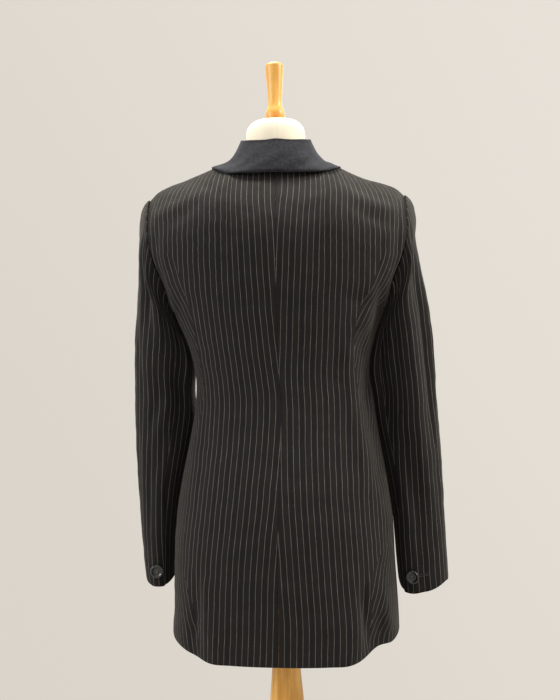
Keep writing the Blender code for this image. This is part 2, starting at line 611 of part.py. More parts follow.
def form_torso(look):
    """The form under the cloth: the body's own sections moved inwards, with a flat plate at each
    armhole, closed below by a flat bottom and above by the neck."""
    rows = np.concatenate([[-0.845], BODY_ROWS[BODY_ROWS > -0.80]])
    s, v = np.meshgrid(BACK_COLUMNS, rows)
    parts = []
    for side in (1, -1):
        for front in (False, True):
            p = mirrored(body(s, v, front=front, open_front=False), side)
            p = p if front else drape(p)
            n = seam_normals(p, outward(p, normals(p)), v)
            n[:, 0, 0] = 0.0
            n /= np.linalg.norm(n, axis=-1, keepdims=True)
            depth = CLOTH + SEAM + 0.0003 + smooth(EASE, EASE_COLUMNS, "ease", v)
            parts.append(p - n * depth[..., None])
    back_r, front_r, back_l, front_l = parts

    def plate(back_edge, front_edge):
        return [back_edge + (front_edge - back_edge) * share for share in (1 / 3, 2 / 3)]

    last = len(BACK_COLUMNS) - 1
    ring = [back_r[:, k] for k in range(last + 1)] + plate(back_r[:, last], front_r[:, last])
    ring += [front_r[:, k] for k in range(last, -1, -1)] + [front_l[:, k] for k in range(1, last + 1)]
    ring += plate(front_l[:, last], back_l[:, last]) + [back_l[:, k] for k in range(last, 0, -1)]
    grid = turn(np.stack(ring, axis=1))
    grid[0, :, 2] = FORM_BOTTOM
    rows_n, n = grid.shape[:2]
    points = [grid.reshape(-1, 3)]
    index = np.arange(rows_n * n).reshape(rows_n, n)
    after = np.roll(index, -1, axis=1)
    corner = (index[:-1], after[:-1], after[1:], index[1:])
    rising = np.zeros(n, bool)
    rising[:last + 1] = True
    rising[2 * last + 3:3 * last + 4] = True
    faces = []
    for chosen, triangles in ((rising, ((0, 1, 2), (0, 2, 3))), (~rising, ((0, 1, 3), (1, 2, 3)))):
        for triangle in triangles:
            faces += np.stack([corner[k][:, chosen] for k in triangle], -1).reshape(-1, 3).tolist()
    bottom = rows_n * n
    points.append(np.array([[0.0, 0.0, FORM_BOTTOM]]))
    faces += [(bottom, int(b), int(a)) for a, b in zip(index[0], after[0])]
    collar_n = NECK_COLUMN + 1
    front_start = last + 3
    loop = list(range(collar_n))
    loop += [front_start + last - k for k in range(collar_n - 1, -1, -1)]
    loop += [front_start + last + k for k in range(1, collar_n)]
    loop += [n - k for k in range(collar_n - 1, 0, -1)]
    base = grid[-1, loop]
    angle = np.arctan2(base[:, 1], base[:, 0])
    angle[np.isclose(base[:, 0], 0, atol=1e-6) & (base[:, 1] < 0)] = -np.pi / 2
    before = [index[-1, k] for k in loop]
    start = bottom + 1
    for radius, height, share in ((0.0, 0.0, 0.45), (NECK_RADIUS + 0.0003, 1.533, 1.0),
                                  (NECK_RADIUS, 1.556, 1.0), (NECK_RADIUS - 0.0012, NECK_RIM - 0.0130, 1.0),
                                  (NECK_RADIUS - 0.0040, NECK_RIM - 0.0065, 1.0),
                                  (NECK_RADIUS - 0.0085, NECK_RIM - 0.0018, 1.0),
                                  (NECK_RADIUS - 0.0113, NECK_RIM, 1.0), (NECK_RADIUS - 0.0119, NECK_TOP, 1.0)):
        if share < 1:
            target = np.stack([np.cos(angle) * (NECK_RADIUS + 0.001), np.sin(angle) * (NECK_RADIUS + 0.001),
                               np.full(len(loop), 1.528)], -1)
            new = base + (target - base) * share
        else:
            new = np.stack([np.cos(angle) * radius, np.sin(angle) * radius,
                            np.full(len(loop), height)], -1)
        points.append(new)
        here = [start + k for k in range(len(loop))]
        for k in range(len(loop)):
            m = (k + 1) % len(loop)
            faces.append((int(before[k]), int(before[m]), here[m], here[k]))
        before = here
        start += len(loop)
    points.append(np.array([[0.0, 0.0, NECK_TOP]]))
    faces += [(start, int(before[k]), int(before[(k + 1) % len(before)])) for k in range(len(before))]
    return add_object("form_torso", np.concatenate(points), faces, look)


FINIAL = (
    (0.0128, 1.5834), (0.0147, 1.5860), (0.0159, 1.5930), (0.0157, 1.5975), (0.0144, 1.6022),
    (0.0120, 1.6090), (0.0115, 1.6180), (0.0124, 1.6320), (0.0140, 1.6560), (0.0151, 1.6720), (0.0150, 1.6770),
    (0.0125, 1.6802),
)
NECK_PLATE = (
    (0.0330, 0.0003), (0.0352, 0.0012), (0.0356, 0.0030), (0.0345, 0.0045), (0.0260, 0.0065), (0.0150, 0.0076),
)
POLE = (
    (0.0330, 0.0283), (0.0345, 0.0360), (0.0330, 0.0460), (0.0240, 0.0560), (0.0228, 0.0800),
    (0.0235, 0.1600), (0.0262, 0.3000), (0.0295, 0.4400), (0.0308, 0.5300), (0.0301, 0.5750),
    (0.0285, 0.6080), (0.0262, 0.6350), (0.0241, 0.6610), (0.0224, 0.6950), (0.0216, 0.7400),
    (0.0225, 0.7700), (0.0280, 0.7850), (0.0300, 0.7997),
)
BASE = ((0.1760, 0.0000), (0.1860, 0.0030), (0.1900, 0.0110), (0.1880, 0.0190), (0.1780, 0.0260), (0.1600, 0.0280))


def button(name, face_point, normal, look, segments=18):
    """A dished button: a flat back, a raised rim and a sunk middle, lying on a face of cloth."""
    r, h = BUTTON_RADIUS, BUTTON_THICK
    profile = ((0.92 * r, 0.0), (r, 0.3 * h), (0.99 * r, 0.72 * h), (0.90 * r, h), (0.78 * r, 0.94 * h),
               (0.64 * r, 0.62 * h))
    piece = turned(name, profile, (0.0, 0.0, 0.0), look, segments)
    z = np.array(normal, float)
    z /= np.linalg.norm(z)
    x = np.cross((0.0, 0.0, 1.0), z)
    x /= np.linalg.norm(x)
    y = np.cross(z, x)
    mesh = piece.data
    count = len(mesh.vertices)
    flat = np.empty(count * 3)
    mesh.vertices.foreach_get("co", flat)
    local = flat.reshape(-1, 3)
    world = np.array(face_point) + local @ np.stack([x, y, z])
    mesh.vertices.foreach_set("co", world.ravel())
    mesh.update()
    return piece


def patch_frame(face, u, v, reach=0.004):
    """A point of a face function and the normal there, from small steps along both parameters."""
    middle = face(u, v)
    n = np.cross(face(u + reach, v) - face(u - reach, v), face(u, v + reach) - face(u, v - reach))
    n /= np.linalg.norm(n)
    return middle, n


def seat(middle, n, carrier):
    """Where a flat button comes to lie: moved along n until the cloth's highest point under it is
    one seam gap away."""
    mesh = carrier.data
    tree = BVHTree.FromPolygons([v.co for v in mesh.vertices], [tuple(p.vertices) for p in mesh.polygons])
    across = np.cross(n, (0.0, 0.0, 1.0))
    across /= np.linalg.norm(across)
    up = np.cross(across, n)
    start = 0.02
    highest = -start
    for radius in (0.0, 0.5 * BUTTON_RADIUS, BUTTON_RADIUS):
        for angle in np.linspace(0, 2 * np.pi, 24, endpoint=False):
            p = middle + n * start + (across * np.cos(angle) + up * np.sin(angle)) * radius
            distance = tree.ray_cast(Vector(p), Vector(-n), 2 * start)[3]
            if distance is not None:
                highest = max(highest, start - distance)
    return middle + n * (highest + SEAM)


def cuff_button(side, carrier, look):
    """On the upper sleeve, beside the vent's edge."""
    table = SLEEVE_RIGHT if side > 0 else SLEEVE_LEFT
    w = 1 - BUTTON_UP / (SHOULDER_TIP - CUFF_INNER)
    seam = float(smooth(table, SLEEVE_COLUMNS, "seam", w))

    def face(theta, along):
        return turn(sleeve_face(np.array(theta), np.array(along), side, table))

    behind_edge = 14.0 if side > 0 else 10.0
    middle, n = patch_frame(face, np.radians(seam - behind_edge), w)
    centre = turn(sleeve_face(np.array([0.0, np.pi]), np.array([w, w]), side, table)).mean(axis=0)
    n = n if np.dot(n, middle - centre) > 0 else -n
    name = "cuff_button_right" if side > 0 else "cuff_button_left"
    return button(name, seat(middle, n, carrier), n, look)


def front_button(number, height, carrier, look):
    """On the right front, in line with the centre."""
    v = (height - HEM_BACK) / (UNDERARM - HEM_BACK) - 1

    def face(s, at):
        return turn(body(np.array(s), np.array(at), front=True))

    middle, n = patch_frame(face, 0.03, v)
    n = n if n[1] > 0 else -n
    return button("front_button_%d" % number, seat(middle, n, carrier), n, look)


def clear_scene():
    for piece in list(bpy.data.objects):
        bpy.data.objects.remove(piece, do_unlink=True)


def main():
    clear_scene()
    cloth = material("pinstripe cloth", (0.030, 0.028, 0.026), 0.85)
    felt = material("collar cloth", (0.048, 0.050, 0.058), 0.95)
    jersey = material("form jersey", (0.86, 0.79, 0.62), 0.8)
    wood = material("pale wood", (0.80, 0.47, 0.15), 0.45)
    plastic = material("button", (0.012, 0.012, 0.013), 0.3)
    for side, word in ((-1, "left"), (1, "right")):
        wall("back_" + word, *back_panel(side), cloth)
        wall("front_" + word, *front_panel(side), cloth)
        wall("lapel_" + word, *lapel(side), cloth)
        upper = wall("sleeve_top_" + word, *sleeve_panel(side, True), cloth)
        wall("sleeve_under_" + word, *sleeve_panel(side, False), cloth)
        cuff_button(side, upper, plastic)
    wall("collar", *collar(), felt)
    for number, height in enumerate(FRONT_BUTTONS, 1):
        front_button(number, height, bpy.data.objects["front_right"], plastic)
    form_torso(jersey)
    turned("neck_plate", NECK_PLATE, (-0.0008, 0.0, NECK_TOP), wood)
    turned("finial", FINIAL, (0.0, 0.0, 0.0), wood)
    turned("pole", POLE, (0.0, 0.0, 0.0), wood)
    turned("base", BASE, (0.0, 0.0, 0.0), wood, segments=48)


main()
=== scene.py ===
# %% [markdown]
# # A long pinstripe blazer on a dress form
#
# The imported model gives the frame: every panel's place and size, in metres, with +Z up and the
# wearer's back towards -Y. This script dresses that frame. Each panel of cloth is worked out again
# from the same sections, on a grid that is fine enough for creases and seam lines, and it gets a
# map in metres of cloth, so that the pinstripes follow the cut as they would on the real garment.

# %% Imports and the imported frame
import json

import bmesh
import bpy
import numpy as np
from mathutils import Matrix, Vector
from mathutils.bvhtree import BVHTree

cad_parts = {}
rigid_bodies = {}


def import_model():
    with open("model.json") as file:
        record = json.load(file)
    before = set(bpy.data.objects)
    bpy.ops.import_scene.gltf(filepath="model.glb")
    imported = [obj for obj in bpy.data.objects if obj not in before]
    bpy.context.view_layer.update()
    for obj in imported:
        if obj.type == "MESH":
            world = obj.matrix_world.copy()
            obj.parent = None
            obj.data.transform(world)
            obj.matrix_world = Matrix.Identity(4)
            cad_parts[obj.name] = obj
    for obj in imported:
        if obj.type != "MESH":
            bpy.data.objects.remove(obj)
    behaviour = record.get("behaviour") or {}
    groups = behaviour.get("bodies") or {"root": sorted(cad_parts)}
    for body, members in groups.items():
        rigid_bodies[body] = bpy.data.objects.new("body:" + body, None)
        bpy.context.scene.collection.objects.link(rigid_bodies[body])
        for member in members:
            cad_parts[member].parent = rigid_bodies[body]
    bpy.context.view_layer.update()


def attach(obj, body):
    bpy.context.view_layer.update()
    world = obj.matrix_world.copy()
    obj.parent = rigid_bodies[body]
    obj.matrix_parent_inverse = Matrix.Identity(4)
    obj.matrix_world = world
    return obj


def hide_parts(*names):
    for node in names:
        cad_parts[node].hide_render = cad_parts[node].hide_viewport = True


for startup_object in list(bpy.data.objects):
    bpy.data.objects.remove(startup_object, do_unlink=True)
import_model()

# %% [markdown]
# ## Tables and curves
#
# A garment is easier to draft from a few measured sections than from thousands of points. Each
# table below has named columns, and a smooth curve runs through its rows.


# %% Curves through tables
def table(names, rows):
    """A short table as one array for each named column."""
    return dict(zip(names.split(), np.array(rows, float).T))


def curve(rows, name, at):
    """A column read along the first one: cubic pieces whose slopes are those of the neighbours' chords."""
    x = rows[next(iter(rows))]
    y = rows[name]
    at = np.clip(np.asarray(at, float), x[0], x[-1])
    slope = np.gradient(y, x)
    i = np.clip(np.searchsorted(x, at, side="right") - 1, 0, len(x) - 2)
    h = x[i + 1] - x[i]
    t = (at - x[i]) / h
    return (
        y[i] * (1 + 2 * t) * (1 - t) ** 2
        + slope[i] * h * t * (1 - t) ** 2
        + y[i + 1] * t * t * (3 - 2 * t)
        - slope[i + 1] * h * t * t * (1 - t)
    )


def step(low, high, value):
    """0 below low and 1 above high, with a smooth rise between."""
    t = np.clip((np.asarray(value, float) - low) / (high - low), 0, 1)
    return t * t * (3 - 2 * t)


def bell(value, middle, width):
    """A soft hump of height 1 round middle."""
    return np.exp(-(((np.asarray(value, float) - middle) / width) ** 2))


def unit(vectors):
    """The same directions at length 1."""
    return vectors / np.maximum(np.linalg.norm(vectors, axis=-1, keepdims=True), 1e-12)


def lengths(points, axis):
    """Running length along the rows or the columns of a grid of points."""
    steps = np.linalg.norm(np.diff(points, axis=axis), axis=-1)
    first = np.zeros_like(np.take(steps, [0], axis=axis))
    return np.cumsum(np.concatenate([first, steps], axis=axis), axis=axis)


# %% Driving dimensions of the blazer, in metres and degrees, with heights above the floor
LEVEL = np.array([1.0, 1.0, 0.0])
UP = np.array([0.0, 0.0, 1.0])
ALMOST_ZERO = 0.000001
CLOTH = 0.0020
SEAM = 0.0003
HEM_BACK = 0.7145
HEM_RISE = 0.0150
UNDERARM = 1.2650
SHOULDER_TIP = 1.4550
TIP_OUT = 0.2140
NAPE = 1.4870
NECK_POINT = 1.5145
FRONT_DROP = 0.0500
NECK_HALF = 0.0750
NAPE_DEPTH = 0.0720
NECK_SEAT = 0.0100
ARMHOLE_DEPTH = 0.0620
TWIST_TOP = 1.5
TWIST_HEM = 5.6
BREAK = 1.2100
OVERLAP = 0.0200
GORGE = 0.68
LAPEL_WIDTH = 0.0800
CUFF_INNER = 0.8200
CUFF_OUTER = {-1: 0.820, 1: 0.815}
VENT_DIP = {-1: 0.011, 1: 0.021}
RECESS = 0.016
ARMHOLE_FLARE = 0.09
BUTTON_UP = 0.0260
SLEEVE_PRESSED = 0.20
BUTTON_RADIUS = 0.0110
BUTTON_THICK = 0.0038

BODY = table("z half back front shift", [
    (0.700, 0.1905, 0.1340, 0.1290, 0.000),
    (0.776, 0.1870, 0.1350, 0.1290, 0.002),
    (0.844, 0.1845, 0.1360, 0.1290, 0.001),
    (0.928, 0.1800, 0.1350, 0.1250, 0.002),
    (0.982, 0.1720, 0.1280, 0.1170, 0.003),
    (1.058, 0.1575, 0.1110, 0.1040, 0.005),
    (1.114, 0.1490, 0.1010, 0.0990, 0.006),
    (1.160, 0.1455, 0.1000, 0.1040, 0.003),
    (1.223, 0.1600, 0.1080, 0.1220, 0.001),
    (1.265, 0.1770, 0.1140, 0.1310, 0.000),
    (1.304, 0.1860, 0.1200, 0.1280, 0.000),
    (1.342, 0.2005, 0.1240, 0.1180, 0.000),
    (1.380, 0.2095, 0.1250, 0.1050, 0.000),
    (1.410, 0.2125, 0.1200, 0.0920, 0.000),
    (1.455, 0.2140, 0.0980, 0.0710, 0.000),
    (1.487, 0.2145, 0.0720, 0.0570, 0.000),
    (1.520, 0.2145, 0.0600, 0.0500, 0.000),
])
SHOULDER = table("x z", [
    (0.0750, 1.5145),
    (0.0980, 1.5060),
    (0.1180, 1.4975),
    (0.1490, 1.4865),
    (0.1800, 1.4765),
    (0.2000, 1.4668),
    (0.2140, 1.4550),
])
OUTER = table("z left right", [
    (0.790, 0.2325, 0.2740),
    (0.850, 0.2396, 0.2722),
    (0.907, 0.2446, 0.2700),
    (0.984, 0.2476, 0.2678),
    (1.052, 0.2491, 0.2652),
    (1.119, 0.2494, 0.2612),
    (1.220, 0.2462, 0.2552),
    (1.287, 0.2394, 0.2478),
    (1.330, 0.2364, 0.2400),
    (1.378, 0.2350, 0.2322),
    (1.425, 0.2322, 0.2325),
    (1.441, 0.2280, 0.2285),
    (1.450, 0.2222, 0.2225),
    (1.455, 0.2150, 0.2150),
])
SLEEVES = {
    -1: table("w clear depth middle seam", [
        (0.00, 0.0012, 0.0620, 0.000, 125.0),
        (0.10, 0.0004, 0.0630, 0.000, 122.0),
        (0.28, 0.0030, 0.0610, 0.012, 118.0),
        (0.39, 0.0100, 0.0600, 0.021, 115.0),
        (0.52, 0.0026, 0.0590, 0.024, 112.0),
        (0.75, 0.0020, 0.0570, 0.022, 108.0),
        (1.00, 0.0040, 0.0540, 0.016, 105.0),
    ]),
    1: table("w clear depth middle seam", [
        (0.00, 0.0012, 0.0620, 0.000, 125.0),
        (0.06, -0.0020, 0.0628, 0.001, 126.0),
        (0.12, -0.0020, 0.0628, 0.003, 126.0),
        (0.20, 0.0004, 0.0622, 0.010, 128.0),
        (0.28, 0.0010, 0.0610, 0.016, 129.0),
        (0.39, 0.0020, 0.0590, 0.022, 131.0),
        (0.52, 0.0010, 0.0560, 0.024, 132.0),
        (0.75, 0.0014, 0.0500, 0.022, 129.0),
        (1.00, 0.0040, 0.0460, 0.012, 124.0),
    ]),
}
FRONT_SEAM = -120.0
SIDES = {-1: "left", 1: "right"}

# %% [markdown]
# ## The body of the blazer
#
# Seen from above, each section of a body is a rounded square, deeper behind the shoulder blades and
# over the hips and small at the waist. Two numbers place any point of the cloth: s, from the centre
# line out to the side seam, and v, from the hem through the underarm up to the shoulder. Working
# with s and v keeps rows and columns in line with the cloth's own threads, which the stripes need.


# %% Sections of the body
def row_lift(v):
    """Share of the way from the underarm to the top, gentle at both ends: half a cosine wave."""
    return (1 - np.cos(np.pi * np.clip(v, 0, 1))) / 2


def edge_height(v):
    """Height of a row at the side seam or the armhole."""
    low = HEM_BACK + HEM_RISE + (UNDERARM - HEM_BACK - HEM_RISE) * (v + 1)
    return np.where(v < 0, low, UNDERARM + (SHOULDER_TIP - UNDERARM) * row_lift(v))


def half_width(v):
    """Half of the body's width at a row."""
    return curve(BODY, "half", edge_height(v))


def top_height(x, open_front, drop):
    """Height of the neckline, a quarter of an ellipse, and of the shoulder seam beyond it."""
    x = np.abs(x)
    shoulder = curve(SHOULDER, "z", x)
    if open_front:
        return shoulder + 0.3 * NECK_HALF * np.clip(1 - x / NECK_HALF, 0, 1)
    neck = NECK_POINT - drop * np.sqrt(np.clip(1 - (x / NECK_HALF) ** 2, 0, 1))
    return np.where(x < NECK_HALF, neck, shoulder)


def body(s, v, front, open_front=True):
    """Depth of the rounded square: edge + (depth - edge) * (1 - s^square)^power. Towards the top
    the depth shrinks along a quarter circle, where the cloth rolls over the shoulder."""
    s, v = np.broadcast_arrays(np.asarray(s, float), np.asarray(v, float))
    reach = np.minimum(np.abs(s), 1)
    x = s * half_width(v)
    lift = row_lift(v)
    hem = HEM_BACK + HEM_RISE * reach ** 4
    top = top_height(x, front and open_front, FRONT_DROP if front else NECK_POINT - NAPE)
    z = np.where(v < 0, hem + (UNDERARM - hem) * (v + 1), UNDERARM + (top - UNDERARM) * lift)
    centre_top = NECK_POINT - FRONT_DROP if front else NAPE
    centre_z = np.where(v < 0, HEM_BACK + (UNDERARM - HEM_BACK) * (v + 1),
                        UNDERARM + (centre_top - UNDERARM) * lift)
    depth = curve(BODY, "front" if front else "back", centre_z)
    bow = np.sin(np.pi * np.clip(v, 0, 1))
    edge = ARMHOLE_DEPTH * bow * (1 - step(1.0, 0.86, reach) * (1 - step(0.0, 0.30, v)))
    power = 1 / (2.2 - 1.0 * step(0.0, 0.55, v))
    square = 2.5 + 0.5 * step(0.95, 0.75, centre_z)
    y = edge + (depth - edge) * (1 - reach ** square) ** power
    roll = 1 - np.sqrt(np.clip(1 - lift ** 5, 0, 1))
    neck = np.sqrt(np.clip(1 - (np.minimum(np.abs(x), NECK_HALF) / NECK_HALF) ** 2, 0, 1))
    seat = NECK_SEAT * (1 - step(NECK_HALF, TIP_OUT, np.abs(x)))
    if front:
        seat = -seat + (0 if open_front else NAPE_DEPTH * neck)
        y = (1 - roll) * y + roll * seat
    else:
        seat = seat + (NAPE_DEPTH - NECK_SEAT) * neck
        y = -((1 - roll) * y + roll * seat)
    return np.stack([x, y, z], axis=-1)


def turn(points):
    """The hang on the form: each section shifts sideways and turns a few degrees about the axis,
    the right shoulder sits a little lower, and the hem is pulled up where it folds."""
    p = np.array(points, float)
    z = p[..., 2]
    share = np.clip((1.40 - z) / (1.40 - HEM_BACK), 0, 1)
    angle = np.radians(TWIST_TOP * step(1.50, 1.40, z) + (TWIST_HEM - TWIST_TOP) * share)
    own = p[..., 0]
    x = own * np.cos(angle) + p[..., 1] * np.sin(angle)
    y = -own * np.sin(angle) + p[..., 1] * np.cos(angle)
    low_shoulder = 0.0045 * bell(own, 0.145, 0.05) * step(1.30, 1.47, z)
    high_hem = 0.010 * bell(own, 0.158, 0.026) + 0.004 * step(0.172, 0.188, own)
    high_hem = (high_hem + 0.005 * step(0.115, 0.165, -own)) * step(0.80, 0.72, z)
    return np.stack([x + curve(BODY, "shift", z), y, z - low_shoulder + high_hem], axis=-1)


def mirrored(points, side):
    """The same points on the right (1) or on the left (-1)."""
    p = np.array(points, float)
    p[..., 0] *= side
    return p


def normals(grid, away=None):
    """Unit normals: the cross product of a grid's two directions, turned away from the axis."""
    n = unit(np.cross(np.gradient(grid, axis=1), np.gradient(grid, axis=0)))
    if away is None:
        away = np.zeros_like(grid)
        away[..., 2] = np.minimum(grid[..., 2], 1.30)
    return n if np.sum(n * (grid - away)) > 0 else -n


# %% [markdown]
# ## Folds and creases
#
# Cloth that hangs on a form that it doesn't quite fit pulls into a few large folds and many small
# ones. A simulation would give some folds, but not these. So each fold is placed as one row of a
# table: a line from one point to another, how far it bows, how wide and how high it is. A negative
# height is a trough. Across the line a fold is a bell curve, and it fades at both ends.


# %% Folds as lines on the cloth
def folds(a, b, rows):
    """Height of all the folds of a table at points (a, b). For each row: share t of the way along
    the line, sideways distance d from the bowed line, then height * sin(pi t)^0.7 * bell(d)."""
    total = np.zeros_like(a)
    for a0, b0, a1, b1, bow, width, height in zip(*rows.values()):
        long = np.hypot(a1 - a0, b1 - b0)
        da, db = (a1 - a0) / long, (b1 - b0) / long
        t = np.clip(((a - a0) * da + (b - b0) * db) / long, 0, 1)
        d = (a - a0) * db - (b - b0) * da - 4 * bow * t * (1 - t)
        total = total + height * np.sin(np.pi * t) ** 0.7 * bell(d, 0, width)
    return total


def pucker(a, b, seed, height=0.00025):
    """Small uneven waves across the length of the cloth, a sum of sines 21 to 67 mm long."""
    random = np.random.default_rng(seed)
    total = np.zeros_like(a)
    for size in (0.021, 0.029, 0.038, 0.051, 0.067):
        slant, phase, drift = random.uniform(-0.5, 0.5), random.uniform(0, 6.3), random.uniform(6, 14)
        total = total + size * np.sin(2 * np.pi * (b + slant * a) / size + phase + np.sin(drift * a * 4))
    return height * total / 0.06


FOLD_COLUMNS = "a0 b0 a1 b1 bow width height"
BACK_FOLDS = table(FOLD_COLUMNS, [
    (0.150, 1.330, 0.116, 1.120, -0.008, 0.0120, 0.0045),
    (0.168, 1.300, 0.132, 1.090, -0.006, 0.0100, -0.0050),
    (0.112, 1.160, 0.176, 0.900, 0.010, 0.0110, 0.0030),
    (0.184, 1.330, 0.150, 1.215, -0.006, 0.0060, 0.0022),
    (0.178, 1.290, 0.146, 1.175, -0.004, 0.0050, -0.0020),
    (0.100, 1.455, 0.204, 1.412, 0.004, 0.0110, 0.0026),
    (0.120, 1.424, 0.200, 1.386, 0.003, 0.0120, -0.0026),
    (0.200, 1.440, 0.188, 1.330, -0.003, 0.0070, -0.0026),
    (0.180, 1.400, 0.166, 1.290, -0.002, 0.0080, 0.0018),
    (0.020, 1.470, 0.030, 1.330, 0.004, 0.0180, 0.0010),
    (0.064, 1.465, 0.060, 1.300, 0.004, 0.0140, -0.0010),
    (0.130, 0.850, 0.142, 0.722, 0.004, 0.0070, -0.0060),
    (0.116, 0.840, 0.122, 0.716, 0.002, 0.0080, 0.0030),
    (0.160, 0.840, 0.170, 0.740, 0.002, 0.0090, 0.0035),
    (0.060, 0.980, 0.070, 0.760, 0.004, 0.0160, 0.0011),
    (0.030, 1.180, 0.150, 1.130, 0.006, 0.0060, -0.0007),
    (0.020, 1.120, 0.140, 1.095, 0.004, 0.0060, 0.0007),
    (-0.198, 1.400, -0.176, 1.270, 0.004, 0.0090, -0.0032),
    (-0.186, 1.390, -0.146, 1.160, 0.006, 0.0100, 0.0026),
    (-0.180, 1.310, -0.142, 1.170, 0.006, 0.0060, -0.0022),
    (-0.170, 1.290, -0.128, 1.120, 0.006, 0.0070, 0.0018),
    (-0.160, 1.240, -0.120, 1.090, 0.004, 0.0070, -0.0014),
    (-0.110, 1.455, -0.200, 1.420, -0.004, 0.0120, 0.0022),
    (-0.126, 1.428, -0.196, 1.392, -0.003, 0.0120, -0.0016),
    (-0.024, 1.470, -0.034, 1.300, -0.004, 0.0180, 0.0010),
    (-0.080, 1.450, -0.086, 1.260, -0.004, 0.0160, -0.0010),
    (-0.136, 1.120, -0.150, 0.980, -0.004, 0.0080, 0.0014),
    (-0.118, 1.080, -0.136, 0.930, -0.004, 0.0080, -0.0012),
    (-0.130, 0.860, -0.142, 0.728, -0.004, 0.0080, -0.0036),
    (-0.112, 0.850, -0.120, 0.722, -0.002, 0.0090, 0.0026),
    (-0.070, 0.960, -0.078, 0.760, -0.003, 0.0160, 0.0010),
    (-0.140, 1.190, -0.040, 1.150, 0.005, 0.0060, 0.0006),
])


def drape(points):
    """The back's largest folds, the same ones as on its solid, moved straight out behind."""
    p = np.array(points, float)
    x, y, z = p[..., 0], p[..., 1], p[..., 2]
    ridge = 0.118 + 0.020 * step(1.12, 1.00, z) + 0.06 * step(1.20, 1.30, z)
    along = step(0.94, 1.02, z) * step(1.30, 1.20, z)
    push = along * (0.007 * bell(x, ridge - 0.006, 0.014) - 0.008 * bell(x, ridge + 0.016, 0.011))
    hem_fold = step(0.82, 0.74, z)
    push = push + hem_fold * (0.006 * bell(x, 0.106, 0.018) - 0.016 * bell(x, 0.150, 0.017))
    push = push + hem_fold * (0.005 * bell(x, -0.100, 0.018) - 0.006 * bell(x, -0.132, 0.015))
    drag = bell(x + 0.62 * (z - 1.16), -0.150, 0.014) * step(1.14, 1.20, z) * step(1.33, 1.26, z)
    p[..., 1] = y - step(0.0, -0.05, y) * (push - 0.003 * drag)
    return p


# %% [markdown]
# ## From a grid to a sewn panel
#
# A panel needs two faces and the rim between them, or it would show as paper. Where two panels are
# sewn together the cloth dips into the seam, so each border sinks by about half a millimetre over
# the last two. A map in metres of cloth goes with the points: U across the stripes and V along them.


# %% Panels of cloth
def spaced(count, near=0.010):
    """Shares from 0 to 1 with extra lines close to both ends, where the cloth dips."""
    inside = np.linspace(0, 1, count)[1:-1]
    ends = near * np.array([0.12, 0.3, 0.6])
    return np.concatenate([[0.0], ends, near + (1 - 2 * near) * inside, 1 - ends[::-1], [1.0]])


def dip(grid, depths, width=0.0016):
    """How far the cloth sinks at its four borders (left, right, bottom, top): a sum of bells of the
    distance to each border."""
    across, up = lengths(grid, 1), lengths(grid, 0)
    sink = np.zeros(grid.shape[:2])
    for depth, distance in zip(depths, (across, across[:, -1:] - across, up, up[-1:] - up)):
        sink = sink + depth * bell(distance, 0, width)
    return sink


BORDERS = {
    "left": ((slice(None), 0), (slice(None), 1)),
    "right": ((slice(None), -1), (slice(None), -2)),
    "top": ((-1,), (-2,)),
}


def with_gaps(grid, **distances):
    """Moves the named borders towards the inside of the grid, so that each seam keeps its gap."""
    g = grid.copy()
    for side, distance in distances.items():
        border, beside = BORDERS[side]
        way = g[beside] - g[border]
        size = np.linalg.norm(way, axis=-1, keepdims=True)
        g[border] = g[border] + way / np.maximum(size, 1e-9) * np.minimum(distance, 0.5 * size)
    return g


def mesh_object(name, points, quads, cloth_map=None):
    """A smooth-shaded mesh from arrays. cloth_map holds one (U, V) for each corner of each face."""
    mesh = bpy.data.meshes.new(name)
    mesh.vertices.add(len(points))
    mesh.vertices.foreach_set("co", np.asarray(points, np.float32).ravel())
    sizes = np.array([quads.shape[1]] * len(quads))
    mesh.loops.add(quads.size)
    mesh.loops.foreach_set("vertex_index", quads.ravel().astype(np.int32))
    mesh.polygons.add(len(quads))
    mesh.polygons.foreach_set("loop_start", (np.cumsum(sizes) - sizes).astype(np.int32))
    mesh.update(calc_edges=True)
    mesh.shade_smooth()
    if cloth_map is not None:
        layer = mesh.uv_layers.new(name="cloth")
        layer.data.foreach_set("uv", np.asarray(cloth_map, np.float32).ravel())
    piece = bpy.data.objects.new(name, mesh)
    bpy.context.scene.collection.objects.link(piece)
    return piece


def signed_volume(points, quads):
    """Volume inside the faces, positive where they point outwards: a sum of dot products."""
    a, b, c, d = (points[quads[:, k]] for k in range(4))
    return np.sum(a * np.cross(b, c) + a * np.cross(c, d)) / 6


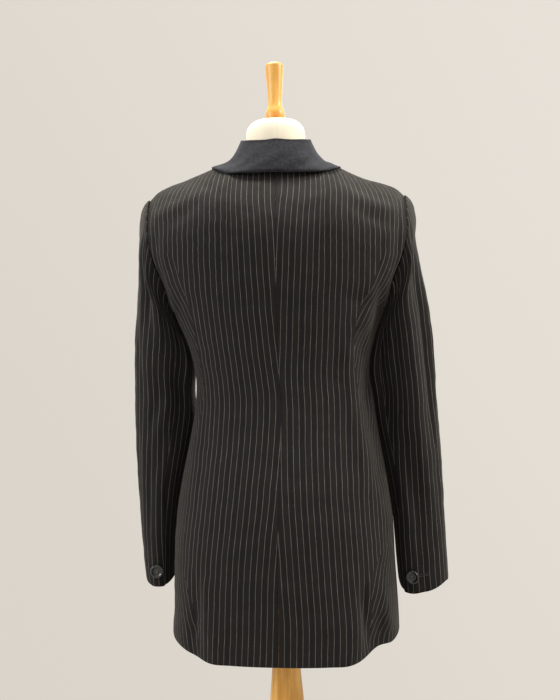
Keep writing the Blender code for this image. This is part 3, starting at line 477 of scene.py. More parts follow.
def cloth_wall(name, outer, inner, u, v, other_u=None, other_faces=None):
    """A closed panel between two grids: outer face, inner face and a strip round the border. The
    faces of the grid that other_faces marks take other_u, so stripes can break along a line."""
    rows, columns = outer.shape[:2]
    index = np.arange(rows * columns).reshape(rows, columns)
    offset = rows * columns
    face = np.stack([index[:-1, :-1], index[:-1, 1:], index[1:, 1:], index[1:, :-1]], -1).reshape(-1, 4)
    border = np.concatenate([index[0, :-1], index[:-1, -1], index[-1, :0:-1], index[:0:-1, 0]])
    after = np.roll(border, -1)
    rim = np.stack([after, border, border + offset, after + offset], -1)
    quads = np.concatenate([face, face[:, ::-1] + offset, rim])
    points = np.concatenate([outer.reshape(-1, 3), inner.reshape(-1, 3)])
    if signed_volume(points, quads) < 0:
        quads = quads[:, ::-1]
    across = np.tile(u.ravel(), 2)[quads]
    if other_u is not None:
        marked = np.flatnonzero(other_faces.ravel())
        marked = np.concatenate([marked, marked + len(face)])
        across[marked] = np.tile(other_u.ravel(), 2)[quads[marked]]
    piece = mesh_object(name, points, quads, np.stack([across, np.tile(v.ravel(), 2)[quads]], -1))
    corner = outer[:-1, :-1]
    area = np.linalg.norm(np.cross(outer[1:, :-1] - corner, outer[:-1, 1:] - corner), axis=-1).sum()
    print("%s: %d faces, %.3f square metres of cloth, %.3f by %.3f m" % (
        name, len(quads), area, np.ptp(u), np.ptp(v)))
    return piece


# %% [markdown]
# ## The back
#
# The back is cut in two halves with a shaped seam down the middle. The seam takes in cloth at the
# waist, so the stripes run into it in the shape of a V from above and of an upturned V from below.
# The map says this directly: at the centre seam U starts at the width that the seam has taken in.


# %% Width taken in at the centre seam
SEAM_TAKES = table("z u", [
    (0.700, 0.0000),
    (0.780, 0.0010),
    (0.858, 0.0047),
    (0.980, 0.0141),
    (1.080, 0.0190),
    (1.140, 0.0195),
    (1.216, 0.0141),
    (1.300, 0.0095),
    (1.395, 0.0047),
    (1.440, 0.0010),
    (1.500, 0.0000),
])


# %% Normals along the seams
def seam_normals(grid, n, v):
    """Normals at the side and shoulder seams that are the same for both panels that meet there:
    straight out at the side, square to the shoulder's slope on top, and leaning out of the neck."""
    n = n.copy()
    side = np.sign(grid[v.shape[0] // 3, -1, 0])
    n[v[:, -1] <= 0.0, -1] = (side, 0.0, 0.0)
    x = np.clip(np.abs(grid[-1, :, 0]), NECK_HALF, TIP_OUT)
    reach = 0.002
    slope = curve(SHOULDER, "z", x - reach) - curve(SHOULDER, "z", x + reach)
    top = unit(np.stack([slope * side, np.zeros_like(x), np.full_like(x, 2 * reach)], -1))
    on_shoulder = np.abs(grid[-1, :, 0]) > NECK_HALF - 0.002
    n[-1, on_shoulder] = top[on_shoulder]
    share = np.clip(np.abs(grid[-1, :, 0]) / NECK_HALF, 0, 1)[:, None]
    neck = unit(grid[-1] * LEVEL)
    neck = unit(neck * (1 - 0.8 * share ** 2) + UP * (0.3 + share ** 2))
    n[-1, ~on_shoulder] = neck[~on_shoulder]
    return n


def eased(n, rows=4):
    """Normals that turn gradually into those of the border, over a few lines of the grid."""
    m = n.copy()
    for k in range(1, rows):
        share = 1 - k / rows
        m[:, -1 - k] = m[:, -1 - k] * (1 - share) + n[:, -1] * share
        m[-1 - k] = m[-1 - k] * (1 - share) + n[-1] * share
    return unit(m)


# %% Lean of the stripes
# Beyond a line from the armhole to the hem, half width at each height, the stripes lean inwards on
# their way down: shift is how far they have moved by that height.
LEANING = {
    1: table("z line shift", [
        (0.700, 0.139, 0.190),
        (0.780, 0.143, 0.165),
        (0.860, 0.150, 0.140),
        (0.900, 0.176, 0.120),
        (0.950, 0.174, 0.110),
        (1.000, 0.163, 0.104),
        (1.060, 0.140, 0.098),
        (1.100, 0.127, 0.092),
        (1.146, 0.120, 0.086),
        (1.200, 0.121, 0.072),
        (1.260, 0.130, 0.044),
        (1.300, 0.150, 0.018),
        (1.350, 0.170, 0.000),
        (1.460, 0.210, 0.000),
    ]),
    -1: table("z line shift", [
        (0.700, 0.128, 0.160),
        (0.780, 0.136, 0.138),
        (0.860, 0.160, 0.122),
        (0.900, 0.176, 0.118),
        (0.950, 0.174, 0.112),
        (1.000, 0.160, 0.106),
        (1.060, 0.142, 0.098),
        (1.100, 0.133, 0.088),
        (1.146, 0.129, 0.072),
        (1.200, 0.132, 0.050),
        (1.260, 0.140, 0.026),
        (1.300, 0.150, 0.012),
        (1.350, 0.165, 0.000),
        (1.460, 0.210, 0.000),
    ]),
}


# %% Back panels
def back_panel(side):
    s, v = np.meshgrid(spaced(96), np.concatenate([-1 + spaced(150, 0.006), spaced(84, 0.012)[1:]]))
    outer = drape(mirrored(body(s, v, front=False), side))
    n = eased(seam_normals(outer, normals(outer), v))
    n[:, 0, 0] = 0.0
    x, z = outer[..., 0], outer[..., 2]
    fade = step(0.0, 0.05, 1 - s) * step(1.0, 0.93, v) * step(-1.0, -0.99, v + 0 * s)
    relief = folds(x, z, BACK_FOLDS) * fade + pucker(x, z, 4) * step(0.0, 0.03, 1 - s) * step(1.0, 0.96, v)
    outer = outer + n * relief[..., None]
    u = lengths(outer, 1) + curve(SEAM_TAKES, "u", z[:, :1])
    leaning = u + np.maximum(curve(LEANING[side], "shift", z), 0.0)
    beyond = (x * side > curve(LEANING[side], "line", z))[1:, 1:]
    along = lengths(outer[:, :1], 0) + 0 * u
    inner = outer - CLOTH * n
    outer = outer - n * dip(outer, (0.0008, 0.0003, 0.0003, 0.0007), 0.0012)[..., None]
    gaps = {"left": SEAM * 0.8, "right": SEAM * 0.7, "top": SEAM * 0.7}
    grids = [with_gaps(turn(g), **gaps) for g in (outer, inner)]
    return cloth_wall("blazer_back_" + SIDES[side], *grids, u * side, along, leaning * side, beyond)


backs = {side: back_panel(side) for side in SIDES}

# %% [markdown]
# ## The fronts and the lapels
#
# Each front runs from its edge, a little past the centre, round to the side seam. Above the top
# button the edge turns back and becomes the lapel, so the front's inner border follows the roll line
# up to the neck. The left front passes under the right one where they lap.


# %% Front panels
FRONT_FOLDS = table(FOLD_COLUMNS, [
    (0.052, 1.196, 0.150, 1.268, 0.006, 0.0080, 0.0024),
    (0.060, 1.180, 0.150, 1.236, 0.005, 0.0070, -0.0020),
    (0.050, 1.170, 0.146, 1.180, -0.005, 0.0080, 0.0018),
    (0.112, 1.360, 0.174, 1.290, 0.006, 0.0110, -0.0026),
    (0.126, 1.380, 0.188, 1.312, 0.006, 0.0110, 0.0022),
    (0.130, 1.120, 0.150, 0.960, 0.004, 0.0100, 0.0018),
    (0.090, 1.060, 0.110, 0.800, 0.005, 0.0160, -0.0014),
    (0.128, 0.860, 0.138, 0.730, 0.003, 0.0110, 0.0030),
    (0.100, 0.850, 0.106, 0.722, 0.003, 0.0110, -0.0024),
    (-0.050, 1.188, -0.150, 1.256, -0.006, 0.0080, 0.0022),
    (-0.056, 1.172, -0.148, 1.222, -0.005, 0.0070, -0.0018),
    (-0.116, 1.366, -0.178, 1.296, -0.006, 0.0110, -0.0024),
    (-0.132, 1.384, -0.190, 1.318, -0.006, 0.0110, 0.0020),
    (-0.124, 1.110, -0.146, 0.950, -0.004, 0.0100, 0.0020),
    (-0.084, 1.040, -0.098, 0.790, -0.005, 0.0160, -0.0014),
    (-0.120, 0.870, -0.134, 0.728, -0.003, 0.0110, 0.0028),
    (-0.150, 0.860, -0.160, 0.740, -0.003, 0.0100, -0.0026),
])


def roll_line(v):
    """Half width of the front's inner border at a row: straight up to the break, then a power curve
    to the neck point. The height depends on the width, so the two are worked out in turns."""
    x = np.full_like(v, -OVERLAP)
    for _ in range(4):
        z = body(x / half_width(v), v, front=True)[..., 2]
        share = np.clip((z - BREAK) / (NECK_POINT - BREAK), 0, 1)
        x = -OVERLAP + (NECK_HALF + OVERLAP) * share ** 0.92
    return x


def front_face(s, v, side, lift=0.0):
    """Points and normals of a front, moved out by lift; the left one passes under the right."""
    p = mirrored(body(s, v, front=True), side)
    n = normals(p)
    under = (CLOTH + 2 * SEAM) * step(0.060, 0.030, p[..., 0] * side) * (side < 0)
    p = p - n * under[..., None]
    return p + n * lift, n


def front_panel(side):
    v_lines = np.concatenate([-1 + spaced(130, 0.006), spaced(72, 0.012)[1:]])
    t, v = np.meshgrid(spaced(84), v_lines)
    start = roll_line(v_lines)[:, None] / half_width(v)
    s = start + (1 - start) * t
    outer, n = front_face(s, v, side)
    n = eased(seam_normals(outer, n, v))
    x, z = outer[..., 0], outer[..., 2]
    fade = step(0.0, 0.05, 1 - s) * step(1.0, 0.93, v) * step(0.0, 0.10, t)
    relief = (folds(x, z, FRONT_FOLDS) + pucker(x, z, 8)) * fade
    outer = outer + n * relief[..., None]
    u = lengths(outer, 1) + start[:, :1] * half_width(v[:, :1])
    along = lengths(outer[:, -1:], 0) + 0 * u
    inner = outer - CLOTH * n
    outer = outer - n * dip(outer, (0.0006, 0.0007, 0.0004, 0.0007))[..., None]
    grids = [with_gaps(turn(g), right=SEAM * 0.7, top=SEAM * 0.7) for g in (outer, inner)]
    return cloth_wall("blazer_front_" + SIDES[side], *grids, u * side, along)


fronts = {side: front_panel(side) for side in SIDES}


# %% Lapels
def lapel(side):
    """The turned part of a front, from the roll line out to a pointed edge. Its width grows along a
    sine, and it stands clear of the front by a low arch."""
    start = -0.06
    first = 0.0 if side > 0 else 0.24
    t, w = np.meshgrid(spaced(34, 0.02), first + (1 - first) * spaced(96))
    v = start + (GORGE - start) * w - 0.05 * t * w
    wide = LAPEL_WIDTH * np.sin(np.pi / 2 * np.clip(w * 1.12, 0, 1)) ** 0.8 + 0.004
    x = roll_line(v) + 0.0015 + t * wide
    face, n = front_face(x / half_width(v), v, side, lift=3 * SEAM)
    inner = face + n * (0.0025 * np.sin(np.pi * t) + 0.001 * t)[..., None]
    outer = inner + n * CLOTH * 0.9
    u, along = -lengths(outer, 1), lengths(outer[:, :1], 0) + 0 * t
    outer = outer - n * dip(outer, (0.0008, 0.0007, 0.0006, 0.0006))[..., None]
    slanting = u * side - along * 0.12
    return cloth_wall("blazer_lapel_" + SIDES[side], turn(outer), turn(inner), slanting, along)


lapels = {side: lapel(side) for side in SIDES}

# %% [markdown]
# ## The sleeves
#
# A tailored sleeve has an upper and an under piece, with one seam in front and one towards the back
# that ends in a short vent at the cuff. Both pieces lie on one tube. The tube's rings run from a
# point on the outer line of the arm to a point beside the body, so the tube follows the outline,
# and the angle theta is 0 on the outer line, 90 degrees at the back and 180 next to the body.


# %% The tube of a sleeve
LEFT_SLEEVE_FOLDS = table(FOLD_COLUMNS, [
    (62.0, 0.020, 66.0, 0.300, 3.0, 7.0, -0.0060),
    (82.0, 0.050, 88.0, 0.330, 4.0, 11.0, 0.0040),
    (42.0, 0.060, 46.0, 0.330, 3.0, 9.0, 0.0028),
    (104.0, 0.120, 96.0, 0.360, 4.0, 9.0, -0.0030),
    (30.0, 0.300, 56.0, 0.520, 5.0, 9.0, -0.0022),
    (112.0, 0.360, 78.0, 0.640, 8.0, 10.0, 0.0034),
    (96.0, 0.380, 66.0, 0.600, 8.0, 8.0, -0.0026),
    (120.0, 0.520, 92.0, 0.700, 6.0, 8.0, -0.0028),
    (52.0, 0.560, 62.0, 0.820, 4.0, 9.0, 0.0020),
    (24.0, 0.480, 30.0, 0.800, 3.0, 10.0, 0.0018),
    (84.0, 0.700, 76.0, 0.900, 3.0, 9.0, -0.0016),
    (-40.0, 0.060, -46.0, 0.340, 3.0, 12.0, 0.0034),
    (-66.0, 0.100, -60.0, 0.420, 3.0, 11.0, -0.0030),
    (-100.0, 0.380, -60.0, 0.600, 6.0, 10.0, 0.0030),
    (-86.0, 0.440, -40.0, 0.620, 6.0, 8.0, -0.0026),
    (-30.0, 0.500, -40.0, 0.800, 3.0, 10.0, 0.0018),
])
RIGHT_SLEEVE_FOLDS = table(FOLD_COLUMNS, [
    (88.0, 0.050, 82.0, 0.760, -4.0, 15.0, 0.0120),
    (56.0, 0.080, 52.0, 0.660, -4.0, 9.0, -0.0060),
    (104.0, 0.080, 102.0, 0.540, -4.0, 8.0, -0.0050),
    (34.0, 0.140, 28.0, 0.560, -3.0, 8.0, 0.0030),
    (14.0, 0.240, 16.0, 0.700, -2.0, 8.0, -0.0024),
    (112.0, 0.160, 108.0, 0.620, -3.0, 8.0, 0.0022),
    (84.0, 0.020, 74.0, 0.170, -3.0, 7.0, 0.0030),
    (60.0, 0.020, 62.0, 0.150, 2.0, 6.0, -0.0028),
    (58.0, 0.600, 70.0, 0.860, 4.0, 9.0, 0.0022),
    (88.0, 0.620, 96.0, 0.880, 4.0, 9.0, -0.0020),
    (36.0, 0.640, 40.0, 0.860, 3.0, 9.0, -0.0016),
    (-40.0, 0.060, -48.0, 0.360, 3.0, 12.0, 0.0032),
    (-68.0, 0.120, -62.0, 0.460, 3.0, 11.0, -0.0028),
    (-96.0, 0.400, -56.0, 0.640, 6.0, 10.0, 0.0030),
    (-80.0, 0.460, -38.0, 0.660, 6.0, 8.0, -0.0026),
    (-30.0, 0.540, -42.0, 0.820, 3.0, 10.0, 0.0016),
])


def sleeve_face(theta, w, side):
    """A ring spans its outer and inner points: centre + half span * cos(theta), and the depth goes
    with sin(theta). Powers below 1 on both make the ring flatter than an ellipse, as a pressed
    sleeve is. Near the armhole the ring bends onto the edge of the body. A long recess at the back,
    close to the body, leaves a shadow between the sleeve and the back panel."""
    rows = SLEEVES[side]
    clear, depth, middle = (curve(rows, name, w) for name in ("clear", "depth", "middle"))
    seam = np.radians(curve(rows, "seam", w))
    z_out = SHOULDER_TIP - (SHOULDER_TIP - CUFF_OUTER[side]) * w
    z_in = UNDERARM - (UNDERARM - CUFF_INNER) * w ** 1.3
    x_out = curve(OUTER, SIDES[side], z_out) - side * curve(BODY, "shift", z_out)
    x_in = curve(BODY, "half", z_in) + clear
    cos, sin = np.cos(theta), np.sin(theta)
    pressed = SLEEVE_PRESSED * step(0.12, 0.38, w)
    flat_cos = np.sign(cos) * np.abs(cos) ** (1 - pressed)
    flat_sin = np.sign(sin) * np.abs(sin) ** (1 - pressed)
    x = (x_out + x_in) / 2 + (x_out - x_in) / 2 * flat_cos
    z = (z_out + z_in) / 2 + (z_out - z_in) / 2 * cos
    z = z - VENT_DIP[side] * step(0.80, 1.0, w) * np.maximum(np.cos(theta - seam), 0) ** 1.5
    y = middle - depth * flat_sin
    start = 1 - step(0.0, 0.22, w)
    hole_z = UNDERARM + (SHOULDER_TIP - UNDERARM) * (1 + cos) / 2
    hole_x = curve(BODY, "half", hole_z) + SEAM * 0.3 + w * ARMHOLE_FLARE
    x = x + start * (hole_x - x) * np.abs(sin) ** 0.7
    y = y + RECESS * bell(np.degrees(theta), 128.0, 22.0) * step(0.04, 0.18, w) * step(0.66, 0.44, w)
    crease = 0.0016 * np.sin(2 * theta + 3.0 * w) * step(0.15, 0.4, w) * step(1.0, 0.8, w)
    return np.stack([(x + crease * cos) * side, y - crease * sin, z], -1)


def sleeve_normals(theta, w, side, reach=0.006):
    """Normals of the tube, from small steps round the arm and along it."""
    low, high = np.maximum(w - reach, 0), np.minimum(w + reach, 1)
    round_arm = sleeve_face(theta + 4 * reach, w, side) - sleeve_face(theta - 4 * reach, w, side)
    along_arm = sleeve_face(theta, high, side) - sleeve_face(theta, low, side)
    return unit(np.cross(round_arm, along_arm) * side)


# %% Upper and under sleeves
# The stripes of the upper piece keep their place at STRAIGHT_LINE degrees round the arm.
STRAIGHT_LINE = 70.0
FULL_RING = 0.25


def sleeve_panel(side, upper):
    """One piece of the tube. At the cuff the upper piece laps over the under one for the vent. Each
    fold stays away from the body and from the seams. U is the length round the arm. The
    rings near the armhole are bent, so part of their U is that of the first full ring."""
    rows = spaced(176, 0.006)
    seam = curve(SLEEVES[side], "seam", rows)[:, None]
    vent = step(0.75, 0.85, rows)[:, None]
    open_up = step(0.64, 0.77, rows)[:, None]
    if upper:
        end = seam + 13.0 * vent
        degrees = FRONT_SEAM + (end - FRONT_SEAM) * spaced(108)[None, :]
        lift = 0.0034 * open_up * step(-34.0, -12.0, degrees - seam)
    else:
        degrees = seam + (360 + FRONT_SEAM - seam) * spaced(52, 0.02)[None, :]
        lift = -0.0006 * open_up * step(30.0, 5.0, degrees - seam)
    theta = np.radians(degrees)
    w = rows[:, None] + 0 * theta
    face = sleeve_face(theta, w, side)
    n = sleeve_normals(theta, w, side)
    n[0] = np.stack([0 * theta[0], -np.sin(theta[0]), np.cos(theta[0])], -1)
    wide = np.where(degrees > 180, degrees - 360, degrees)
    away = step(6.0, 26.0, np.abs(degrees - seam)) if upper else 0.25 * step(0, 20, degrees - seam)
    away = away * step(0.0, 0.05, w) * step(1.0, 0.93, w) * step(0.0, 24.0, degrees - FRONT_SEAM)
    clear_of_body = step(150.0, 118.0, np.abs(wide))
    table_of_side = RIGHT_SLEEVE_FOLDS if side > 0 else LEFT_SLEEVE_FOLDS
    relief = folds_on_tube(wide, w, table_of_side) + pucker(theta * 0.05, w * 0.65, 15 + side, 0.00016)
    outer = face + n * (lift + relief * away * clear_of_body)[..., None]
    u = lengths(outer * LEVEL, 1)
    if upper:
        u = u - np.array([np.interp(STRAIGHT_LINE, *row) for row in zip(degrees, u)])[:, None]
    full = np.abs(rows - FULL_RING).argmin()
    straight = np.array([np.interp(row, degrees[full], u[full]) for row in degrees])
    share = 0.65 * step(FULL_RING, 0.0, rows)[:, None]
    u = u * (1 - share) + straight * share
    along = lengths(outer[:, :1], 0) + 0 * u
    inner = outer - CLOTH * n
    outer = outer - n * dip(outer, (0.0007, 0.0007, 0.0003, 0.0004))[..., None]
    grids = [with_gaps(turn(g), left=SEAM * 1.5, right=SEAM * 1.5) for g in (outer, inner)]
    kind = "top" if upper else "under"
    return cloth_wall("blazer_sleeve_%s_%s" % (kind, SIDES[side]), *grids, u * side, along)


def folds_on_tube(degrees, w, rows):
    """Folds of a table whose lines are given in degrees round the arm and shares of its length. One
    degree is taken as a 300th of the length, so that widths stay in degrees."""
    scaled = {name: values * (300.0 if name in ("b0", "b1") else 1.0) for name, values in rows.items()}
    return folds(degrees, w * 300.0, scaled)


sleeves = {(side, upper): sleeve_panel(side, upper) for side in SIDES for upper in (True, False)}

# %% [markdown]
# ## The collar
#
# Stand and fall are one folded strip: up from the neck seam, over a tight fold and down to the free
# edge. Each station of the table gives the height of the fold and the place of the edge, and the
# strip's cross section joins them with a small half circle and a curve with one bend.

# %% Collar
COLLAR = table("t lean stand edge_x edge_y edge_z knee_out knee_down", [
    (0.00, 0.0100, 0.0490, 0.0000, -0.0850, 1.4800, 0.58, 0.50),
    (0.12, 0.0120, 0.0465, 0.0400, -0.0815, 1.4800, 0.56, 0.50),
    (0.25, 0.0140, 0.0435, 0.0810, -0.0675, 1.4845, 0.43, 0.68),
    (0.37, 0.0160, 0.0385, 0.1030, -0.0385, 1.4985, 0.37, 0.80),
    (0.50, 0.0170, 0.0325, 0.1085, 0.0010, 1.5055, 0.34, 0.86),
    (0.65, 0.0120, 0.0240, 0.1130, 0.0300, 1.4960, 0.44, 0.66),
    (0.80, 0.0070, 0.0170, 0.1160, 0.0560, 1.4760, 0.44, 0.58),
    (1.00, 0.0030, 0.0080, 0.1150, 0.0840, 1.4440, 0.50, 0.50),
])
COLLAR_WALL = 0.0018
COLLAR_BEND = 2.4
FOLD_RADIUS = 0.0015


def neck_seam(t):
    """Where the stand sits: round the back neckline, then down the roll line to the gorge."""
    a = np.abs(t)
    x = NECK_HALF * np.sin(np.pi / 2 * np.clip(a / 0.5, 0, 1))
    behind = body(x / TIP_OUT, 1.0, front=False)
    v = 1 - (1 - GORGE) * np.clip((a - 0.5) / 0.5, 0, 1)
    before = body(roll_line(v) / half_width(v), v, front=True)
    p = np.where((a <= 0.5)[:, None], behind, before)
    p = p - unit(p * LEVEL) * 0.0012
    p[:, 2] += 0.0009
    p[:, 0] *= np.where(t < 0, -1.0, 1.0)
    return p


def collar():
    stations = np.linspace(-1, 1, 25)
    side = np.where(stations < 0, -1.0, 1.0)
    columns = {name: curve(COLLAR, name, np.abs(stations)) for name in COLLAR}
    seat = neck_seam(stations)
    fold = seat - unit(seat * LEVEL) * columns["lean"][:, None]
    fold[:, 2] += columns["stand"]
    edge = np.stack([columns["edge_x"] * side, columns["edge_y"], columns["edge_z"]], -1)
    along = unit(np.gradient(fold, axis=0))
    up = unit(UP - along * along[:, 2:3])
    out = unit((edge - seat) * LEVEL)
    out = unit(out - along * np.sum(out * along, axis=-1, keepdims=True))
    start = fold + out * FOLD_RADIUS
    way = edge - start
    knee = LEVEL * columns["knee_out"][:, None] + UP * columns["knee_down"][:, None]
    knee = start + way * knee
    rows = [seat + (fold - out * FOLD_RADIUS - seat) * share for share in np.linspace(0, 1, 10)[:-1]]
    for angle in np.radians(np.linspace(180, 0, 11)):
        rows.append(fold + out * FOLD_RADIUS * np.cos(angle) + up * FOLD_RADIUS * np.sin(angle))
    for t in np.linspace(0, 1, 25)[1:]:
        bend = COLLAR_BEND * 2 * t * (1 - t)
        rows.append((start * (1 - t) ** 2 + knee * bend + edge * t * t) / ((1 - t) ** 2 + bend + t * t))
    rough = np.stack(rows)
    fine = np.linspace(-1, 1, 241)
    i = np.clip(np.searchsorted(stations, fine, side="right") - 1, 0, 23)
    share = ((fine - stations[i]) / (stations[1] - stations[0]))[None, :, None]
    slope = np.gradient(rough, axis=1)
    middle = (
        rough[:, i] * (1 + 2 * share) * (1 - share) ** 2
        + slope[:, i] * share * (1 - share) ** 2
        + rough[:, i + 1] * share ** 2 * (3 - 2 * share)
        - slope[:, i + 1] * share ** 2 * (1 - share)
    )
    n = unit(np.cross(np.gradient(middle, axis=1), np.gradient(middle, axis=0)))
    n = n if np.sum(n[-3] * middle[-3] * LEVEL) > 0 else -n
    u, along_strip = lengths(middle, 1), lengths(middle, 0)
    fall = step(0.35, 0.75, np.linspace(0, 1, len(rows)))[:, None]
    wave = 0.0006 * np.sin(u * 55.0 + 1.0) + 0.0004 * np.sin(u * 131.0 + along_strip * 40.0)
    middle = middle + n * (wave * fall)[..., None]
    thin = COLLAR_WALL / 2 - dip(middle, (0.0005, 0.0005, 0.0004, 0.0006), 0.0012)
    half_wall = n * thin[..., None]
    return cloth_wall("blazer_collar", turn(middle + half_wall), turn(middle - half_wall), u, along_strip)


collar_piece = collar()

# %% [markdown]
# ## The dress form
#
# The form is a stuffed torso under cream jersey, with a flat plate at each armhole and a seam down
# the middle of the back and of the front. It is worked out from the body's own sections, moved
# inwards, so that the cloth rests on its shoulders. The neck is a short column with a rounded rim.

# %% Sizes of the torso and the neck
FORM_BOTTOM = 0.8000
NECK_TOP = 1.5755
EASE = table("v ease", [
    (-1.00, 0.022),
    (-0.60, 0.016),
    (-0.20, 0.008),
    (0.10, 0.009),
    (0.50, 0.010),
    (0.78, 0.005),
    (0.92, 0.0004),
    (1.00, 0.0000),
])
NECK_RINGS = table("z radius", [
    (1.5330, 0.0501),
    (1.5430, 0.0499),
    (1.5560, 0.0498),
    (1.5620, 0.0494),
    (1.5662, 0.0486),
    (1.5700, 0.0474),
    (1.5730, 0.0457),
    (1.5755, 0.0436),
    (1.5774, 0.0412),
    (1.5786, 0.0397),
    (1.5792, 0.0387),
    (1.5788, 0.0380),
    (1.5770, 0.0379),
    (1.5757, 0.0378),
    (1.5755, 0.0370),
    (1.5755, 0.0200),
    (1.5755, ALMOST_ZERO),
])


# %% Skins over rings
def welded(piece):
    """Merges points that lie on each other, such as the poles of a turned shape."""
    work = bmesh.new()
    work.from_mesh(piece.data)
    bmesh.ops.remove_doubles(work, verts=work.verts, dist=0.00001)
    bmesh.ops.dissolve_degenerate(work, edges=work.edges, dist=0.000001)
    work.to_mesh(piece.data)
    work.free()
    piece.data.shade_smooth()
    return piece


def ring_skin(points, loops):
    """Quads between neighbouring rings of point numbers, turned to face outwards."""
    pairs = zip(loops, loops[1:])
    quads = np.concatenate([np.stack([a, np.roll(a, -1), np.roll(b, -1), b], -1) for a, b in pairs])
    return quads if signed_volume(points, quads) > 0 else quads[:, ::-1]


def closed_rings(name, rings):
    """A skin over rings of equally many points; its first and last ring are single places."""
    rows, n = rings.shape[:2]
    points = rings.reshape(-1, 3)
    return welded(mesh_object(name, points, ring_skin(points, np.arange(rows * n).reshape(rows, n))))


# %% Torso
def torso():
    rows = np.concatenate([np.linspace(-0.845, 0.0, 60), np.linspace(0, 1, 60)[1:]])
    neck_share = NECK_HALF / TIP_OUT
    inner_lines = np.linspace(0, neck_share, 24)
    lines = np.concatenate([inner_lines, np.linspace(neck_share, 1, 40)[1:]])
    s, v = np.meshgrid(lines, rows)
    quarter = {}
    for side in SIDES:
        for front in (False, True):
            p = mirrored(body(s, v, front=front, open_front=False), side)
            p = p if front else drape(p)
            n = seam_normals(p, normals(p), v)
            n[:, 0, 0] = 0.0
            n = unit(n)
            seam_dip = 0.0006 * bell(s * half_width(v), 0, 0.0013)
            depth = CLOTH + SEAM + 0.0003 + curve(EASE, "ease", v) + seam_dip
            quarter[side, front] = p - n * depth[..., None]
    last = len(lines) - 1
    shares = np.linspace(0, 1, 14)[1:-1]

    def plate(back, front):
        return [back + (front - back) * share for share in shares]

    back_r, front_r = quarter[1, False], quarter[1, True]
    back_l, front_l = quarter[-1, False], quarter[-1, True]
    ring = [back_r[:, k] for k in range(last + 1)] + plate(back_r[:, last], front_r[:, last])
    ring += [front_r[:, k] for k in range(last, -1, -1)] + [front_l[:, k] for k in range(1, last + 1)]
    ring += plate(front_l[:, last], back_l[:, last]) + [back_l[:, k] for k in range(last, 0, -1)]
    grid = turn(np.stack(ring, axis=1))
    grid[0, :, 2] = FORM_BOTTOM
    count = grid.shape[1]
    bottom = [grid[0] * np.array([share, share, 1.0]) for share in (0.00001, 0.5, 0.9, 0.985)]
    grid = np.concatenate([np.stack(bottom), grid])
    inner = len(inner_lines) - 1
    shoulder_part = np.r_[inner + 1:last + 1 + len(shares) + last - inner]
    keep = np.ones(count, bool)
    keep[shoulder_part] = False
    keep[(count - shoulder_part) % count] = False
    return grid, keep


# %% Neck
def torso_piece():
    """The torso closes along the shoulder seams, and the neck rises from the ring that is left:
    each point of that ring moves over to the neck's circle along a curve with one bend."""
    grid, keep = torso()
    rows, count = grid.shape[:2]
    loop = np.flatnonzero(keep)
    base = grid[-1, loop]
    angle = np.arctan2(base[:, 1], base[:, 0])
    circle = np.stack([np.cos(angle), np.sin(angle)], -1)
    rings = []
    foot_z, foot_radius = NECK_RINGS["z"][0], NECK_RINGS["radius"][0]
    foot = np.concatenate([circle * foot_radius, np.full((len(loop), 1), foot_z)], -1)
    knee = np.concatenate([circle * (foot_radius + 0.002), base[:, 2:3] * 0.6 + foot_z * 0.4], -1)
    knee[:, 2] = np.minimum(knee[:, 2], foot_z - 0.004)
    for t in np.linspace(0, 1, 12)[1:]:
        rings.append(base * (1 - t) ** 2 + knee * 2 * t * (1 - t) + foot * t * t)
    seam_dip = 0.0005 * bell(base[:, 0], 0, 0.0022)
    for z, radius in list(zip(NECK_RINGS["z"], NECK_RINGS["radius"]))[1:]:
        ring = circle * (radius - seam_dip * (radius > 0.03))[:, None]
        rings.append(np.concatenate([ring, np.full((len(loop), 1), z)], -1))
    points = np.concatenate([grid.reshape(-1, 3), *rings])
    index = np.arange(rows * count).reshape(rows, count)
    neck = rows * count + np.arange(len(rings) * len(loop)).reshape(len(rings), len(loop))
    quads = np.concatenate([ring_skin(points, index), ring_skin(points, [index[-1, loop], *neck])])
    return welded(mesh_object("dress_form_torso", points, quads))


torso_skin = torso_piece()
print("torso:", len(torso_skin.data.polygons), "faces")

# %% Turned wood
def turned(name, profile, centre, segments=96, fine=6):
    """A solid of revolution: the profile's corners (radius, height) are rounded by a smooth curve
    through them, carried round a vertical line and closed on it at both ends."""
    corners = np.array(profile, float)
    t = np.concatenate([[0.0], np.cumsum(np.linalg.norm(np.diff(corners, axis=0), axis=1) ** 0.5)])
    rows = {"t": t, "radius": corners[:, 0], "height": corners[:, 1]}
    at = np.interp(np.arange((len(t) - 1) * fine + 1) / fine, np.arange(len(t)), t)
    radius, height = curve(rows, "radius", at), curve(rows, "height", at)
    radius = np.concatenate([[ALMOST_ZERO], radius, [ALMOST_ZERO]])
    height = np.concatenate([height[:1], height, height[-1:]])
    angle = np.linspace(0, 2 * np.pi, segments, endpoint=False)
    rings = np.stack([
        centre[0] + radius[:, None] * np.cos(angle),
        centre[1] + radius[:, None] * np.sin(angle),
        centre[2] + height[:, None] + 0 * angle,
    ], -1)
    return closed_rings(name, rings)


